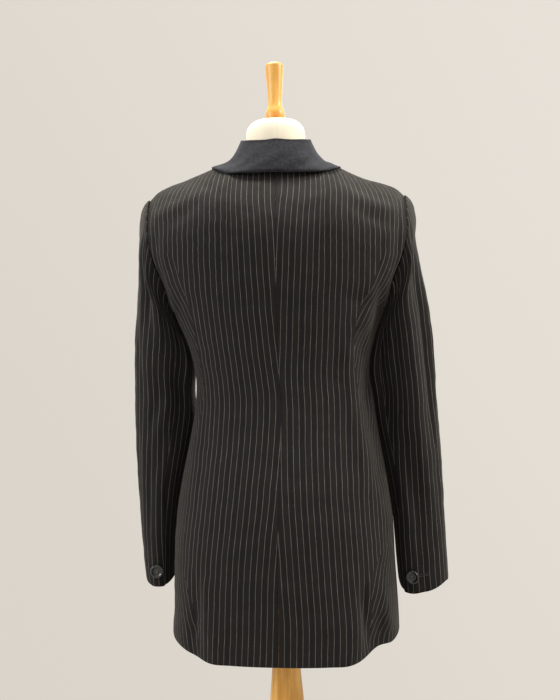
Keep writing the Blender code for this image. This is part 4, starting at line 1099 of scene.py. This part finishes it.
FINIAL = (
    (0.0128, 1.5834), (0.0147, 1.5860), (0.0159, 1.5930), (0.0157, 1.5975), (0.0144, 1.6022),
    (0.0120, 1.6090), (0.0115, 1.6180), (0.0124, 1.6320), (0.0140, 1.6560), (0.0151, 1.6720),
    (0.0150, 1.6770), (0.0125, 1.6802),
)
NECK_PLATE = (
    (0.0330, 0.0003), (0.0352, 0.0012), (0.0356, 0.0030), (0.0345, 0.0045), (0.0260, 0.0065),
    (0.0150, 0.0076),
)
POLE = (
    (0.0330, 0.0283), (0.0345, 0.0360), (0.0330, 0.0460), (0.0240, 0.0560), (0.0228, 0.0800),
    (0.0235, 0.1600), (0.0262, 0.3000), (0.0295, 0.4400), (0.0308, 0.5300), (0.0301, 0.5750),
    (0.0285, 0.6080), (0.0262, 0.6350), (0.0241, 0.6610), (0.0224, 0.6950), (0.0216, 0.7400),
    (0.0225, 0.7700), (0.0280, 0.7850), (0.0300, 0.7997),
)
BASE = (
    (0.1760, 0.0000), (0.1860, 0.0030), (0.1900, 0.0110), (0.1880, 0.0190), (0.1780, 0.0260),
    (0.1600, 0.0280),
)

wood_pieces = {
    "finial": turned("stand_finial", FINIAL, (0.0, 0.0, 0.0)),
    "neck_plate": turned("stand_neck_plate", NECK_PLATE, (-0.0008, 0.0, NECK_TOP)),
    "pole": turned("stand_pole", POLE, (0.0, 0.0, 0.0)),
    "base": turned("stand_base", BASE, (0.0, 0.0, 0.0), segments=160),
}
print("turned wood, faces:", {name: len(piece.data.polygons) for name, piece in wood_pieces.items()})

# %% [markdown]
# ## Buttons and buttonholes
#
# Each button is a dished disc with four holes and a pair of thread bars. The disc is a height over
# a polar grid, so a hole is only a deep dent in that height. A flat button on a curved cloth rests
# on the highest point under it, which rays cast down on the finished panel find.


# %% Threads, and places on a face
def tube(name, path, radius, closed=False, segments=8):
    """A round thread along a path: at each point a small circle in the plane across the path."""
    path = np.asarray(path, float)
    way = unit(np.roll(path, -1, 0) - np.roll(path, 1, 0) if closed else np.gradient(path, axis=0))
    side = unit(np.cross(way, np.array([0.13, 0.21, 0.97])))
    up = np.cross(way, side)
    angle = np.linspace(0, 2 * np.pi, segments, endpoint=False)
    circle = np.cos(angle)[None, :, None] * side[:, None] + np.sin(angle)[None, :, None] * up[:, None]
    size = np.full((len(path), 1, 1), radius)
    if not closed:
        size[[0, -1]] = ALMOST_ZERO
    rings = path[:, None] + circle * size
    if closed:
        rings = np.concatenate([rings, rings[:1]])
    points = rings.reshape(-1, 3)
    loops = np.arange(len(points)).reshape(len(rings), segments)
    return welded(mesh_object(name, points, ring_skin(points, loops)))


def tangent_frame(face, u, v, reach=0.004):
    """A point of a face and the unit normal there, from small steps along both parameters."""
    n = np.cross(face(u + reach, v) - face(u - reach, v), face(u, v + reach) - face(u, v - reach))
    return face(u, v), unit(n)


def cloth_tree(carrier):
    """The faces of a finished panel, for rays to hit."""
    mesh = carrier.data
    return BVHTree.FromPolygons([p.co for p in mesh.vertices], [tuple(p.vertices) for p in mesh.polygons])


def seated(middle, n, carrier):
    """The button's place: along n, just above the highest point of the cloth under it."""
    tree = cloth_tree(carrier)
    across = unit(np.cross(n, UP))
    up = np.cross(across, n)
    start, highest = 0.02, -0.02
    for radius in (0.0, 0.5 * BUTTON_RADIUS, BUTTON_RADIUS):
        for angle in np.linspace(0, 2 * np.pi, 24, endpoint=False):
            p = middle + n * start + (across * np.cos(angle) + up * np.sin(angle)) * radius
            distance = tree.ray_cast(Vector(p), Vector(-n), 2 * start)[3]
            if distance is not None:
                highest = max(highest, start - distance)
    return middle + n * (highest + 0.0001)


# %% One button
DISH = table("r h", [
    (0.00, 0.46),
    (0.40, 0.46),
    (0.56, 0.50),
    (0.68, 0.80),
    (0.78, 0.97),
    (0.88, 1.00),
    (0.96, 0.86),
    (1.00, 0.60),
])
HOLE_OUT = 0.0023
HOLE_RADIUS = 0.00085
HOLE_DEPTH = 0.0013
THREAD_RADIUS = 0.00038


def button(name, middle, n):
    """Height over the polar grid: the dish's curve minus a steep bell at each hole. The disc turns
    in at its side and is flat behind."""
    across = unit(np.cross(UP, n))
    up = np.cross(n, across)

    def placed(x, y, height):
        return middle + x[..., None] * across + y[..., None] * up + height[..., None] * n

    share = np.concatenate([np.linspace(0.0001, 0.5, 30), np.linspace(0.5, 1.0, 22)[1:]])
    angle = np.linspace(0, 2 * np.pi, 120, endpoint=False)
    r, a = np.meshgrid(share * BUTTON_RADIUS, angle, indexing="ij")
    h = curve(DISH, "h", share)[:, None] * BUTTON_THICK + 0 * a
    for hole in np.radians((45, 135, 225, 315)):
        d = np.hypot(r * np.cos(a) - HOLE_OUT * np.cos(hole), r * np.sin(a) - HOLE_OUT * np.sin(hole))
        h = h - HOLE_DEPTH * step(HOLE_RADIUS * 1.25, HOLE_RADIUS * 0.75, d)
    low_r = np.array([1.0, 0.99, 0.95, 0.90, 0.5, 0.0001])[:, None] * BUTTON_RADIUS + 0 * angle
    low_h = np.array([0.35, 0.15, 0.03, 0.0, 0.0, 0.0])[:, None] * BUTTON_THICK + 0 * angle
    r, h = np.concatenate([r, low_r]), np.concatenate([h, low_h])
    disc = closed_rings(name, placed(r * np.cos(angle), r * np.sin(angle), h))
    threads = []
    for k, row in enumerate((-1, 1), 1):
        t = np.linspace(-1, 1, 15)
        x, y = t * HOLE_OUT * 0.72, row * HOLE_OUT * 0.707 + 0 * t
        rise = BUTTON_THICK * 0.46 + 0.0005 * np.sqrt(1 - t ** 4) - 0.0006 * (np.abs(t) > 0.99)
        threads.append(tube("%s_thread_%d" % (name, k), placed(x, y, rise), THREAD_RADIUS))
    return [disc] + threads


# %% One buttonhole
def buttonhole(name, face, u, v, outwards, carrier):
    """A narrow worked slot: a thread that runs out along one side and back along the other, at
    points (u, v) of the face, laid onto the cloth by rays."""
    tree = cloth_tree(carrier)
    laid = []
    for p, n in (tangent_frame(face, a, b, 0.002) for a, b in zip(u, v)):
        n = n if np.dot(n, outwards) > 0 else -n
        hit = tree.ray_cast(Vector(p + n * 0.01), Vector(-n), 0.02)[0]
        laid.append((p if hit is None else np.array(hit)) + n * 0.0001)
    return tube(name, laid, HOLE_THREAD_RADIUS, closed=True)


def slot(length, width=0.0012):
    """A long narrow loop: distance along it from 0 to length and back, and the offset to each side."""
    t = np.linspace(0, 2 * np.pi, 72, endpoint=False)
    return (1 - np.cos(t)) / 2 * length, np.clip(np.sin(t) * 3.0, -1, 1) * width


# %% Buttons on the cuffs and the front
# Heights of the front buttons, degrees from each sleeve's seam to its cuff button, and lengths.
FRONT_BUTTONS = (1.185, 1.085, 0.985)
BUTTON_LINE = 0.03
BUTTON_FROM_SEAM = {-1: 10.0, 1: 14.0}
FRONT_HOLE = 0.028
CUFF_HOLE = 0.016
CUFF_HOLE_START = 0.009
HOLE_THREAD_RADIUS = 0.00045
SLEEVE_LENGTH = 0.63
button_pieces = {}
hole_pieces = []
for side in SIDES:
    height = 1 - BUTTON_UP / (SHOULDER_TIP - CUFF_INNER)
    angle = np.radians(float(curve(SLEEVES[side], "seam", height)) - BUTTON_FROM_SEAM[side])

    def cuff(theta, along):
        return turn(sleeve_face(np.array(theta), np.array(along), side))

    point, n = tangent_frame(cuff, angle, height)
    centre = cuff(np.array([0.0, np.pi]), np.array([height, height])).mean(axis=0)
    n = n if np.dot(n, point - centre) > 0 else -n
    name = "cuff_button_" + SIDES[side]
    button_pieces[name] = button("blazer_" + name, seated(point, n, sleeves[side, True]), n)
    round_arm = angle - np.linspace(0, 1.6, 200)
    reached = lengths(cuff(round_arm, height + 0 * round_arm), 0)
    along, across = slot(CUFF_HOLE)
    theta = np.interp(along + CUFF_HOLE_START, reached, round_arm)
    w = height + across / SLEEVE_LENGTH
    hole_name = "blazer_cuff_buttonhole_" + SIDES[side]
    hole_pieces.append(buttonhole(hole_name, cuff, theta, w, n, sleeves[side, True]))


def chest(s, v):
    return turn(body(np.array(s), np.array(v), front=True))


for number, height in enumerate(FRONT_BUTTONS, 1):
    row = (height - HEM_BACK) / (UNDERARM - HEM_BACK) - 1
    point, n = tangent_frame(chest, BUTTON_LINE, row)
    n = n if n[1] > 0 else -n
    name = "front_button_%d" % number
    button_pieces[name] = button("blazer_" + name, seated(point, n, fronts[1]), n)
    along, across = slot(FRONT_HOLE)
    s = BUTTON_LINE + (FRONT_HOLE / 2 - along) / float(half_width(row))
    v = row + across / (UNDERARM - HEM_BACK)
    hole_pieces.append(buttonhole("blazer_front_buttonhole_%d" % number, chest, s, v, n, fronts[1]))
print("buttons:", sorted(button_pieces))

# %% [markdown]
# ## Finishes
#
# A finish is a small tree of shader nodes. Written as Python, an expression such as
# 1 - mask * 0.5 is easier to read than the same three Math nodes. So one small class wraps a socket
# and turns operators into Math nodes, and one method adds any other node.


# %% Sockets with operators
class Wire:
    """An output socket. Arithmetic on it adds Math nodes to its tree."""

    def __init__(self, tree, socket):
        self.tree, self.socket = tree, socket

    def math(self, operation, *values):
        node = self.tree.nodes.new("ShaderNodeMath")
        node.operation = operation
        for slot_number, value in enumerate(values):
            plug(self.tree, node.inputs[slot_number], value)
        return Wire(self.tree, node.outputs[0])

    def __add__(self, other):
        return self.math("ADD", self, other)

    def __sub__(self, other):
        return self.math("SUBTRACT", self, other)

    def __rsub__(self, other):
        return self.math("SUBTRACT", other, self)

    def __mul__(self, other):
        return self.math("MULTIPLY", self, other)

    def __truediv__(self, other):
        return self.math("DIVIDE", self, other)

    __radd__ = __add__
    __rmul__ = __mul__

    def wave(self, period):
        """A sine from -1 to 1 that repeats after a period."""
        turns = self * (2 * np.pi / period)
        return turns.math("SINE", turns)

    def smooth(self, low, high):
        """0 at low and 1 at high, with a smooth rise between."""
        node = self.tree.nodes.new("ShaderNodeMapRange")
        node.interpolation_type = "SMOOTHSTEP"
        for name, value in (("Value", self), ("From Min", low), ("From Max", high)):
            plug(self.tree, node.inputs[name], value)
        return Wire(self.tree, node.outputs["Result"])


def plug(tree, socket, value):
    """Links a wire to an input, or sets the input's own value."""
    if isinstance(value, Wire):
        tree.links.new(value.socket, socket)
    elif socket.type == "RGBA":
        socket.default_value = (*value, 1.0)
    else:
        socket.default_value = value


class Finish:
    """A material with a Principled BSDF, and one method that adds any other node."""

    def __init__(self, name, **values):
        self.material = bpy.data.materials.new(name)
        self.material.use_nodes = True
        self.tree = self.material.node_tree
        self.shader = self.tree.nodes["Principled BSDF"]
        self.set(**values)

    def set(self, **values):
        for name, value in values.items():
            plug(self.tree, self.shader.inputs[name.replace("_", " ")], value)

    def node(self, kind, output, inputs, **settings):
        """Adds a node of a kind, its settings first, then the values or links of its inputs."""
        node = self.tree.nodes.new("ShaderNode" + kind)
        for name, value in settings.items():
            setattr(node, name, value)
        for name, value in inputs.items():
            plug(self.tree, node.inputs[name], value)
        return Wire(self.tree, node.outputs[output])

    def mix(self, share, low, high):
        """A colour between two: inputs 6 and 7 of a Mix node are its colours."""
        return self.node("Mix", 2, {0: share, 6: low, 7: high}, data_type="RGBA")

    def noise(self, place, scale, detail=2.0):
        return self.node("TexNoise", 0, {"Vector": place, "Scale": scale, "Detail": detail})

    def bump(self, height, distance, strength=1.0, under=None):
        inputs = {"Height": height, "Distance": distance, "Strength": strength}
        if under is not None:
            inputs["Normal"] = under
        return self.node("Bump", 0, inputs)

    def object_place(self):
        return self.node("TexCoord", "Object", {})

    def stretched(self, place, x, y, z):
        """Coordinates scaled differently along each axis."""
        return self.node("Mapping", 0, {"Vector": place, "Scale": (x, y, z)})

    def parts(self, place):
        """The three numbers of a vector as wires."""
        first = self.node("SeparateXYZ", 0, {"Vector": place})
        node = first.socket.node
        return [Wire(self.tree, node.outputs[k]) for k in range(3)]


# %% [markdown]
# ### Pinstriped wool
#
# The cloth is nearly black, with a stripe of pale dots every 9.4 mm and a ground that is a little
# warmer between some of the stripes. Under a lens it is a fine twill. The map gives both in real
# size: the stripe is a narrow band of U, its dots are a wave along V, and the twill runs across both.

# %% Pinstripe finish
STRIPE_EVERY = 0.0094
STRIPE_WIDE = 0.00085
DOT_EVERY = 0.0017
TWILL = 0.0009


def pinstripe():
    wool = Finish("pinstripe_wool", Sheen_Weight=0.10, Sheen_Roughness=0.40,
                  Sheen_Tint=(0.86, 0.80, 0.72), IOR=1.4, Specular_IOR_Level=0.18)
    cloth_map = wool.node("UVMap", 0, {}, uv_map="cloth")
    u, v, _ = wool.parts(cloth_map)
    waver = wool.noise(wool.stretched(cloth_map, 14.0, 34.0, 1.0), 1.0, 2.0)
    u = u + (waver - 0.5) * 0.0016
    lane = u / STRIPE_EVERY + 0.5
    off = lane.math("FRACT", lane) - 0.5
    off = off.math("ABSOLUTE", off) * STRIPE_EVERY
    stripe = 1 - off.smooth(STRIPE_WIDE * 0.30, STRIPE_WIDE * 0.62)
    dots = 0.62 + v.wave(DOT_EVERY) * 0.38
    uneven = wool.noise(wool.stretched(cloth_map, 60.0, 45.0, 1.0), 1.0, 3.0)
    strength = stripe * dots * (0.16 + uneven * 0.66)
    band = u.wave(STRIPE_EVERY * 2.0) * 0.5 + 0.5
    patches = wool.noise(wool.object_place(), 9.0, 3.0)
    fibres = wool.noise(wool.stretched(cloth_map, 900.0, 260.0, 1.0), 1.0, 2.0)
    ground = wool.mix(band, (0.0080, 0.0082, 0.0088), (0.0118, 0.0106, 0.0098))
    ground = wool.mix(patches.smooth(0.35, 0.75) * 0.5, ground, (0.0128, 0.0122, 0.0114))
    twill = (u + v).wave(TWILL) * 0.5 + 0.5
    ground = wool.mix(twill * fibres * 0.30, ground, (0.0240, 0.0228, 0.0212))
    thread = wool.mix(fibres, (0.220, 0.212, 0.195), (0.420, 0.405, 0.370))
    colour = wool.mix(strength, ground, thread)
    relief = wool.bump(twill, 0.00010, 0.5)
    relief = wool.bump(stripe * dots, 0.00012, 0.6, relief)
    relief = wool.bump(patches, 0.0012, 0.25, relief)
    wool.set(Base_Color=colour, Roughness=0.78 + fibres * 0.14, Normal=relief)
    return wool.material


# %% Collar, jersey, plastic and thread
def collar_cloth():
    """A plain napped cloth: short fibres, a little lighter where they catch the light."""
    felt = Finish("collar_cloth", Sheen_Weight=0.12, Sheen_Roughness=0.45,
                  Sheen_Tint=(0.72, 0.76, 0.90), Specular_IOR_Level=0.15)
    place = felt.object_place()
    fine = felt.noise(place, 1600.0, 2.0)
    soft = felt.noise(place, 210.0, 4.0)
    cloud = felt.noise(place, 26.0, 3.0)
    colour = felt.mix((fine * 0.5 + soft * 0.5).smooth(0.36, 0.66), (0.0045, 0.0050, 0.0070),
                      (0.0250, 0.0258, 0.0300))
    colour = felt.mix(cloud.smooth(0.35, 0.7) * 0.30, colour, (0.0225, 0.0230, 0.0255))
    relief = felt.bump(fine, 0.00018, 0.5, felt.bump(soft, 0.0006, 0.35))
    felt.set(Base_Color=colour, Roughness=0.86 + soft * 0.12, Normal=relief)
    return felt.material


def form_jersey():
    """Fine knit: thin upright ribs with small stitches across them."""
    knit = Finish("form_jersey", Sheen_Weight=0.10, Sheen_Roughness=0.5, Specular_IOR_Level=0.25)
    place = knit.object_place()
    x, y, z = knit.parts(place)
    around = knit.noise(place, 30.0, 2.0)
    rib = (x + y * 0.6 + around * 0.0006).wave(0.0013)
    stitch = (z + rib * 0.0001).wave(0.0011)
    worn = knit.noise(place, 7.0, 4.0)
    colour = knit.mix(worn.smooth(0.3, 0.8), (0.790, 0.735, 0.600), (0.745, 0.675, 0.525))
    colour = knit.mix((rib * stitch) * 0.06 + 0.06, colour, (0.62, 0.55, 0.42))
    relief = knit.bump(rib * 0.5 + stitch * 0.3, 0.00012, 0.4)
    knit.set(Base_Color=colour, Roughness=0.80 + around * 0.1, Normal=relief)
    return knit.material


def polished_plastic():
    """Black with a faint cloudiness, and fine turning marks that soften the gloss."""
    black = Finish("button_plastic", Coat_Roughness=0.15, Specular_IOR_Level=0.5)
    place = black.object_place()
    cloud = black.noise(place, 160.0, 3.0)
    marks = black.noise(place, 2400.0, 1.0)
    colour = black.mix(cloud.smooth(0.35, 0.75), (0.0075, 0.0078, 0.0080), (0.0200, 0.0215, 0.0215))
    black.set(Base_Color=colour, Roughness=0.24 + marks * 0.14, Coat_Weight=0.35,
              Normal=black.bump(marks, 0.00003, 0.3))
    return black.material


def sewing_thread(name, dark, light):
    """Twisted thread: a fine slanting wave over the colour."""
    thread = Finish(name, Sheen_Weight=0.2)
    place = thread.object_place()
    x, y, z = thread.parts(place)
    twist = (x + y + z * 1.6).wave(0.0006) * 0.5 + 0.5
    thread.set(Base_Color=thread.mix(twist, dark, light), Roughness=0.75 + twist * 0.1,
               Normal=thread.bump(twist, 0.0001, 0.5))
    return thread.material


# %% [markdown]
# ### Pale turned wood
#
# The stand is turned from a honey-coloured wood. The grain is a noise that is stretched along the
# length, twice: broad bands of tone, and fine dark pores inside them.


# %% Wood finish
def turned_wood(name, pale, deep, upright=True):
    wood = Finish(name, Coat_Roughness=0.25, Specular_IOR_Level=0.4)
    place = wood.object_place()
    along = (1.0, 1.0, 0.10) if upright else (0.10, 1.0, 1.0)
    bands = wood.noise(wood.stretched(place, *along), 95.0, 3.0)
    flow = wood.noise(wood.stretched(place, *along), 28.0, 2.0)
    fine = tuple(value if value < 1 else 1.0 for value in (along[0], along[1], along[2] * 0.5))
    pores = wood.noise(wood.stretched(place, *fine), 620.0, 2.0)
    grain = bands * 0.65 + flow * 0.35
    colour = wood.mix(grain.smooth(0.36, 0.66), deep, pale)
    colour = wood.mix(pores.smooth(0.60, 0.78) * 0.45, colour, tuple(0.55 * c for c in deep))
    wood.set(Base_Color=colour, Roughness=0.36 + pores * 0.16, Coat_Weight=0.18,
             Normal=wood.bump(pores, 0.0001, 0.3, wood.bump(grain, 0.0003, 0.2)))
    return wood.material


FINISHES = {
    "pinstripe": pinstripe(),
    "collar": collar_cloth(),
    "jersey": form_jersey(),
    "plastic": polished_plastic(),
    "thread": sewing_thread("button_thread", (0.10, 0.10, 0.10), (0.34, 0.34, 0.33)),
    "dark_thread": sewing_thread("buttonhole_thread", (0.004, 0.004, 0.004), (0.016, 0.016, 0.017)),
    "wood": turned_wood("turned_wood", (0.760, 0.420, 0.090), (0.520, 0.235, 0.035)),
    "flat_wood": turned_wood("turned_wood_foot", (0.720, 0.390, 0.085), (0.500, 0.225, 0.035), False),
}


def dress(piece, finish):
    piece.data.materials.clear()
    piece.data.materials.append(FINISHES[finish])


for piece in [*backs.values(), *fronts.values(), *lapels.values(), *sleeves.values()]:
    dress(piece, "pinstripe")
dress(collar_piece, "collar")
dress(torso_skin, "jersey")
for node, piece in wood_pieces.items():
    dress(piece, "flat_wood" if node == "base" else "wood")
for disc, *threads in button_pieces.values():
    dress(disc, "plastic")
    for piece in threads:
        dress(piece, "thread")
for piece in hole_pieces:
    dress(piece, "dark_thread")

# %% [markdown]
# ## The pieces and the frame
#
# Each piece takes the place of the imported node that it stands for, which is hidden, and moves
# with the whole, which has one body.

# %% Riding and replacing
def stands_for(piece, node, slot_name, *others):
    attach(piece, "root")
    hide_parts(node)
    for other in others:
        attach(other, "root")


for side, word in SIDES.items():
    for kind, node, piece, held, carrier in (
        ("back", "back_", backs[side], "hung", torso_skin),
        ("front", "front_", fronts[side], "hung", torso_skin),
        ("lapel", "lapel_", lapels[side], "folded", fronts[side]),
        ("top", "sleeve_top_", sleeves[side, True], "hung", backs[side]),
        ("under", "sleeve_under_", sleeves[side, False], "hung", backs[side]),
    ):
        stands_for(piece, node + word, "pinstripe_cloth")
stands_for(collar_piece, "collar", "collar_cloth")
stands_for(torso_skin, "form_torso", "form_jersey")
for node, piece in wood_pieces.items():
    stands_for(piece, node, "pale_wood")
for node, (disc, *threads) in button_pieces.items():
    stands_for(disc, node, "button", *threads)
for piece in hole_pieces:
    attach(piece, "root")

# %% [markdown]
# ## Floor, light and camera
#
# The floor is a pale disc that ends before it would come into the picture, and the world gives the
# pale wall behind, with its light and shade painted on as a gradient. One soft light stands high to
# the right and one above, and weaker ones fill from the left and from in front of the form.


# %% Floor, world and lights
FLOOR_BELOW = 0.0005


def floor():
    ring = np.linspace(0, 2 * np.pi, 96, endpoint=False)
    radius = np.array([ALMOST_ZERO, 0.3, 0.6, 0.95])[:, None]
    rings = np.stack([radius * np.cos(ring), radius * np.sin(ring), -FLOOR_BELOW + 0 * radius * ring], -1)
    disc = closed_rings("floor", rings)
    paint = Finish("floor_paint")
    patches = paint.noise(paint.object_place(), 3.0, 2.0)
    paint.set(Base_Color=paint.mix(patches, (0.50, 0.47, 0.42), (0.54, 0.51, 0.46)), Roughness=0.9)
    disc.data.materials.append(paint.material)
    return disc


floor()

# Painted light on the wall: the shaded colour at the left and below, the lit colour at the right and
# above.
WALL_SHADED_LEFT = (0.700, 0.655, 0.590)
WALL_LIT_RIGHT = (0.800, 0.755, 0.690)
bpy.context.scene.view_settings.view_transform = "Standard"
world = bpy.data.worlds.new("studio")
bpy.context.scene.world = world
world.use_nodes = True
sky = world.node_tree
place = sky.nodes.new("ShaderNodeTexCoord")
apart = sky.nodes.new("ShaderNodeSeparateXYZ")
sky.links.new(place.outputs["Generated"], apart.inputs[0])
# The painted light and shade of the wall: a mix from the shaded colour at the left and lower down to the
# lit colour at the right and higher up.
across = Wire(sky, apart.outputs[0]) * 0.8 + Wire(sky, apart.outputs[2]) * 0.5
blend = sky.nodes.new("ShaderNodeMix")
blend.data_type = "RGBA"
plug(sky, blend.inputs[0], across.smooth(-0.5, 0.55))
plug(sky, blend.inputs[6], WALL_SHADED_LEFT)
plug(sky, blend.inputs[7], WALL_LIT_RIGHT)
sky.links.new(blend.outputs[2], sky.nodes["Background"].inputs["Color"])
sky.nodes["Background"].inputs["Strength"].default_value = 1.0


def soft_light(name, place, towards, size, power, colour):
    data = bpy.data.lights.new(name, "AREA")
    data.shape = "DISK"
    data.size, data.energy, data.color = size, power, colour
    lamp = bpy.data.objects.new(name, data)
    lamp.location = place
    lamp.rotation_euler = (Vector(towards) - Vector(place)).to_track_quat("-Z", "Y").to_euler()
    bpy.context.scene.collection.objects.link(lamp)


soft_light("key", (1.9, -0.4, 2.6), (0.1, 0.0, 1.15), 0.8, 58.0, (1.0, 0.95, 0.88))
soft_light("top", (-0.2, 0.1, 3.1), (0.0, 0.0, 1.3), 1.1, 56.0, (1.0, 0.96, 0.90))
soft_light("fill", (-2.2, -0.8, 1.9), (0.0, 0.0, 1.2), 1.0, 34.0, (0.96, 0.98, 1.0))
soft_light("front", (0.4, 2.2, 2.0), (0.0, 0.0, 1.1), 1.6, 26.0, (1.0, 0.97, 0.93))

# %% Camera
PHOTO_HEIGHT = 700
FOCAL_PIXELS = 800
ROLL = np.radians(1.16)
DISTANCE = 1.35
EYE_HEIGHT = 1.198
SENSOR = 36.0
camera_data = bpy.data.cameras.new("camera")
camera_data.sensor_fit = "VERTICAL"
camera_data.sensor_height = SENSOR
camera_data.lens = FOCAL_PIXELS * SENSOR / PHOTO_HEIGHT
camera = bpy.data.objects.new("camera", camera_data)
camera.location = (0.0, -DISTANCE, EYE_HEIGHT)
camera.rotation_euler = (np.pi / 2, ROLL, 0.0)
bpy.context.scene.collection.objects.link(camera)
bpy.context.scene.camera = camera

# %% The last line
bpy.context.view_layer.update()
